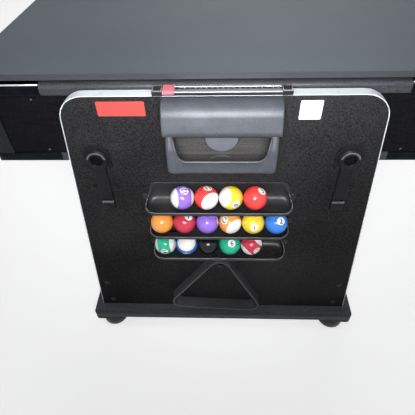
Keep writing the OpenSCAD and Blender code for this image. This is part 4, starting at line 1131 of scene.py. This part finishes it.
# %% The triangle
T_SIDE, T_R, T_WALL, T_TILT, T_EDGE = 284.0, 28.0, 5.0, math.radians(4), 1.4
t_low, t_high = node_box("ball_triangle")
T_U0, T_U1 = -t_high[1] - PANEL_FACE, -t_low[1] - PANEL_FACE
T_HEIGHT = T_SIDE * math.sin(math.radians(60))


def triangle_outline(inset):
    """Corner arcs of a triangle drawn in about its middle, apex at the origin, with points on the sides."""
    points = np.array([(-T_SIDE / 2, -T_HEIGHT), (T_SIDE / 2, -T_HEIGHT), (0, 0)])
    middle = np.array([0, -2 / 3 * T_HEIGHT])
    points = middle + (points - middle) * (1 - inset / (T_HEIGHT / 3))
    radius = T_R - inset
    arcs = []
    for point, start in zip(points, (150, 270, 30)):
        centre = point + unit(middle - point) * 2 * radius
        arcs.append(arc(centre, radius, start, start + 120, 14))
    return linked(arcs, 10)


def hung(flat):
    """Turns an outline by the tilt about its apex, as the triangle hangs on its peg."""
    cos, sin = math.cos(T_TILT), math.sin(T_TILT)
    return np.stack([flat[:, 0] * cos + flat[:, 1] * sin, -flat[:, 0] * sin + flat[:, 1] * cos], -1)


section = soft_rectangle(0, T_U0, T_WALL, T_U1, (T_EDGE,) * 4, 5)
section = np.concatenate([section, section[:1]])
outer = hung(triangle_outline(0))
T_SHIFT = np.array([t_low[0] - outer[:, 0].min(), t_high[2] - outer[:, 1].max()])
rings = [np.insert(hung(triangle_outline(inset)) + T_SHIFT, 1, u, 1) for inset, u in section]
made("triangle_frame", [stack(rings, caps=False)], "triangle", [triangle_plastic],
     ["ball_triangle"], "front")
print("triangle", T_SHIFT)

# %% [markdown]
# ## Feet
# A levelling foot is a glossy dome with a hex nut and a stem over it: one lathe with an elliptical
# shoulder, and a short prism for the nut.

# %% The feet
foot_low, foot_high = node_box("front_left_foot")
FOOT_R = (foot_high[0] - foot_low[0]) / 2
PAD_H, NUT_R, NUT_H, STEM_R = 14.0, 9.0, 10.0, 5.0
NUT_LOW = board_low - SEAT - SHOE_H - NUT_H


def foot_shape(x, y, stem_top):
    """Flat pad, a rim rounded at 5 mm, an elliptical dome up to the nut, the nut, and the stem."""
    dome = np.radians(np.linspace(0, 90, 24))
    profile = [(0.01, 0), (FOOT_R - 6, 0), (FOOT_R - 2.2, 1.6), (FOOT_R - 0.4, 4.4), (FOOT_R, 7)]
    profile += [(NUT_R + (FOOT_R - NUT_R) * math.cos(a), PAD_H + (NUT_LOW - PAD_H) * math.sin(a))
                for a in dome]
    nut = [(NUT_R * 0.9, NUT_LOW - 1), (NUT_R, NUT_LOW), (NUT_R, NUT_LOW + NUT_H - 1.5),
           (NUT_R * 0.9, NUT_LOW + NUT_H)]
    stem = [(STEM_R, NUT_LOW), (STEM_R, stem_top - 0.5), (STEM_R - 0.5, stem_top)]
    return joined([stack(lathe(profile + [(0.01, NUT_LOW)], (x, y, 0), "z", 64)),
                   stack(lathe(nut, (x, y, 0), "z", 6)), stack(lathe(stem, (x, y, 0), "z", 24))])


for end in ENDS:
    for hand in ("left", "right"):
        node = f"{end}_{hand}_foot"
        low, high = node_box(node)
        x, y, _ = (low + high) / 2
        made(node + "_glossy", [foot_shape(x, y, high[2])], f"{end}_{hand}_leveller",
             [foot_plastic], [node])
print("feet made")

# %% [markdown]
# ## Score rail
# The rail on each end panel is a bar with a silver top, a dark scale set into its back half, a groove
# under its front edge, and two dark caps, each with a light frame round its top. The marks are thin
# plates of light ink: a line between the places of the slider, and a number in each.

# %% Score rails and their marks
rail_low, rail_high = node_box("front_score_rail")
CAP_W, CAP_RISE, CAP_INSET, CAP_RIM, SCALE_DROP, EDGE_H = 18.5, 2.0, 0.6, 1.6, 0.8, 1.8
RAIL_TOP, RAIL_HALF = rail_high[2] - CAP_RISE, rail_high[0] - CAP_W
MARKS, MARK_STEP, MARK_MM, MARK_T, SCALE_U, TICK_L = 10, 19.6, 5.5, 0.2, -14.8, 6.0
SCORE_U0, SCORE_U1 = -rail_high[1] - PANEL_FACE, -rail_low[1] - PANEL_FACE


def cap_frame(x0, x1):
    """A flat rectangular ring on a cap: outer and inner outlines at two heights, joined round."""
    outer, inner = (soft_rectangle(x0 + i, SCORE_U0 + i, x1 - i, SCORE_U1 - i, (2.0 - i / 2,) * 4, 4)
                    for i in (CAP_INSET, CAP_INSET + CAP_RIM))
    low, high = rail_high[2] - 0.2, rail_high[2] + 0.3
    return stack([np.insert(flat, 2, z, 1) for flat, z in (
        (outer, low), (outer, high), (inner, high), (inner, low), (outer, low))], caps=False)


def rail_parts(centres, normals):
    """0 dark sides and scale, 1 silver front strip, 2 dark caps, 3 grey strip behind the scale."""
    top = (normals[:, 2] > 0.9) & (centres[:, 2] > RAIL_TOP - 0.3)
    front = (np.abs(normals[:, 1]) > 0.9) & (centres[:, 2] > RAIL_TOP - EDGE_H)
    caps = np.abs(centres[:, 0]) > RAIL_HALF - 0.2
    behind = top & (np.abs(centres[:, 1]) < PANEL_FACE + SCALE_U)
    return np.where(caps, 2, np.where(behind, 3, np.where(top | front, 1, 0)))


def score_mark(mark):
    """The line before a mark's place, and its number, both on the scale's face."""
    x, face = -RAIL_HALF + (mark + 0.5) * MARK_STEP, RAIL_TOP - SCALE_DROP
    line = soft_rectangle(x - MARK_STEP / 2 - 0.6, SCALE_U - TICK_L / 2,
                          x - MARK_STEP / 2 + 0.6, SCALE_U + TICK_L / 2, (0,) * 4, 1)
    flat, faces = numeral(str(mark), MARK_MM)
    place = (min(x, RAIL_HALF - 6), SCALE_U)
    return [stack([np.insert(line, 2, z, 1) for z in (face, face + MARK_T)]),
            (np.insert(flat * (1, -1) + place, 2, face + MARK_T, 1), faces)]


marks = [part for mark in range(1, MARKS + 1) for part in score_mark(mark)]
frames = [cap_frame(*span(side, RAIL_HALF, rail_high[0])) for side in (-1, 1)]
for end in ENDS:
    softened(f"{end}_score_rail", "frame", "score_metal",
             [score_dark, score_silver, cap_plastic, score_grey], 0.5, pick=rail_parts)
    made(f"{end}_score_marks", marks, "frame", [white_ink], end=end, outwards=False)
    made(f"{end}_cap_frames", frames, "frame", [score_silver], end=end)
    softened(f"{end}_score_slider", f"{end}_slider", "red_plastic", [slider_plastic], 0.7)
print("score rails made")

# %% [markdown]
# ## Bolts, screws and the two plain patches
# The stretchers' bolts are dished steel heads on the end panels, and small bright screws hold the end
# aprons. The front panel also carries two plain patches of thin film, one red and one white, with
# nothing on them.

# %% Bolts and patches
bolts_low, bolts_high = node_box("panel_bolts")
BOLT_R, APRON_SCREW_R, APRON_SCREW_X, APRON_SCREW_IN = 7.0, 2.2, 363.0, 8.0
bolt_x = bolts_high[0] - BOLT_R
profile = [(BOLT_R, 0.1), (BOLT_R, 1.2), (BOLT_R * 0.86, 1.9), (BOLT_R * 0.5, 2.0),
           (BOLT_R * 0.42, 0.6), (0.01, 0.5)]
heads = [stack(lathe(profile, (side * bolt_x, 0, z), "y", 32))
         for side in (-1, 1) for z in (bolts_low[2] + BOLT_R, bolts_high[2] - BOLT_R)]
made("panel_bolt_heads", heads, "frame", [dark_steel], ["panel_bolts"], "both")

apron_low, apron_high = node_box("end_aprons")
heads = [pan_screw(side * APRON_SCREW_X, z, apron_high[1] - PANEL_FACE, APRON_SCREW_R)
         for side in (-1, 1) for z in (apron_low[2] + APRON_SCREW_IN, apron_high[2] - APRON_SCREW_IN)]
made("apron_screws", heads, "play_body", [bright_steel], end="both")

red_film = moulded("red_film", (0.45, 0.057, 0.050), (0.51, 0.072, 0.064), 0.3, 0.4, 500, 0.01)
white_film = moulded("white_film", (0.80, 0.77, 0.79), (0.88, 0.85, 0.87), 0.35, 0.4, 500, 0.01)
# Each patch's lower left and upper right corner, as x and z on the front panel.
for name, corners, finish in (("red_patch", (-229, 732, -140, 762), red_film),
                              ("white_patch", (140, 723, 180, 762), white_film)):
    film = slab(*corners, (2.5,) * 4, 0.05, 0.3, 0.1)
    made(name, [film], "frame", [finish], end="front")
print("bolts and patches made")

# %% [markdown]
# ## Floor, light and camera
# The floor is a plain pale sheet that keeps the object's shadow. The surroundings are white for the
# camera and for reflections, and much weaker as light. A small lamp near the camera draws the bright
# line on the hood, a broad one above and a fill light the front end, and one behind lights the top.

# %% The floor
FLOOR_HALF, FLOOR_SEEN = 14.0, 0.62
corners = [(x * FLOOR_HALF, y * FLOOR_HALF, 0) for x, y in ((-1, -1), (1, -1), (1, 1), (-1, 1))]
floor_mesh = mesh_of("floor", corners, [(0, 1, 2, 3)], False)
floor = put("floor", floor_mesh)
pale = Finish("pale_floor", (0.86, 0.86, 0.86), 0.9)
pale.feed(pale.shader, {"Emission Color": (1, 1, 1, 1),
                        "Emission Strength": pale.math("MULTIPLY", pale.seen(), FLOOR_SEEN)})
cloud = pale.ramp(pale.noise(2.0), 0.3, 0.7)
floor_mesh.materials.append(pale.paint(pale.mix(cloud, (0.84, 0.84, 0.84), (0.88, 0.88, 0.88))))
print("floor ready")


# %% Lights
def soft_box(name, place, aim, size, power, spread=180):
    """A rectangular lamp at a place, turned to look at its aim; a grid may narrow its spread in degrees."""
    lamp = bpy.data.lights.new(name, "AREA")
    lamp.shape = "RECTANGLE"
    lamp.size, lamp.size_y = size
    lamp.energy = power
    lamp.spread = math.radians(spread)
    obj = put(name, lamp)
    obj.location = place
    direction = mathutils.Vector(aim) - mathutils.Vector(place)
    obj.rotation_euler = direction.to_track_quat("-Z", "Y").to_euler()


soft_box("key", (0.0, -1.74, 1.20), (0, -0.9, 0.85), (0.6, 0.42), 5.2, 75)
soft_box("above", (-0.6, -1.2, 2.6), (0, -0.6, 0.6), (1.8, 1.2), 9)
soft_box("fill", (2.6, -2.2, 1.5), (0, -0.8, 0.5), (1.6, 1.6), 4)
soft_box("back", (0.4, 2.6, 2.8), (0, 0.4, 0.8), (2.4, 1.2), 36)

world = bpy.data.worlds.new("studio")
bpy.context.scene.world = world
world.use_nodes = True
sky = Nodes(world.node_tree)
lit, output = (sky.tree.nodes[name] for name in ("Background", "World Output"))
sky.feed(lit, {"Color": (0.93, 0.96, 1.0, 1), "Strength": 0.10})
shown = sky.node("Background", {"Color": (1, 1, 1, 1), "Strength": 1.0})
blend = sky.node("MixShader", {0: sky.seen(), 1: lit.outputs[0], 2: shown.outputs[0]})
sky.feed(output, {"Surface": blend.outputs[0]})
print("lights ready")

# %% [markdown]
# The camera looks down at the front end. Its lens, place and turn come from fitting the balls, the edges
# of the panel, plinth, top and play body, the bolts and the locks to where the picture shows them. The
# matrix is built from its three axes.

# %% The camera
LENS_MM, SENSOR_MM = 33.52, 36.0
CAMERA_PLACE = (0.002664, -1.537408, 1.110514)
YAW, PITCH, ROLL = (math.radians(degrees) for degrees in (-3.225, 44.671, -2.04))
forward = np.array([math.sin(YAW) * math.cos(PITCH), math.cos(YAW) * math.cos(PITCH), -math.sin(PITCH)])
right = np.array([math.cos(YAW), -math.sin(YAW), 0.0])
up = np.cross(right, forward)
right, up = (right * math.cos(ROLL) + up * math.sin(ROLL),
             -right * math.sin(ROLL) + up * math.cos(ROLL))
camera_data = bpy.data.cameras.new("camera")
camera_data.lens = LENS_MM
camera_data.sensor_width = SENSOR_MM
camera_data.sensor_fit = "HORIZONTAL"
turned = np.eye(4)
turned[:3, :3] = np.stack([right, up, -forward], 1)
turned[:3, 3] = CAMERA_PLACE
camera = put("camera", camera_data)
camera.matrix_world = mathutils.Matrix(turned.tolist())
bpy.context.scene.camera = camera
bpy.context.scene.view_settings.view_transform = "Standard"
print("camera ready")
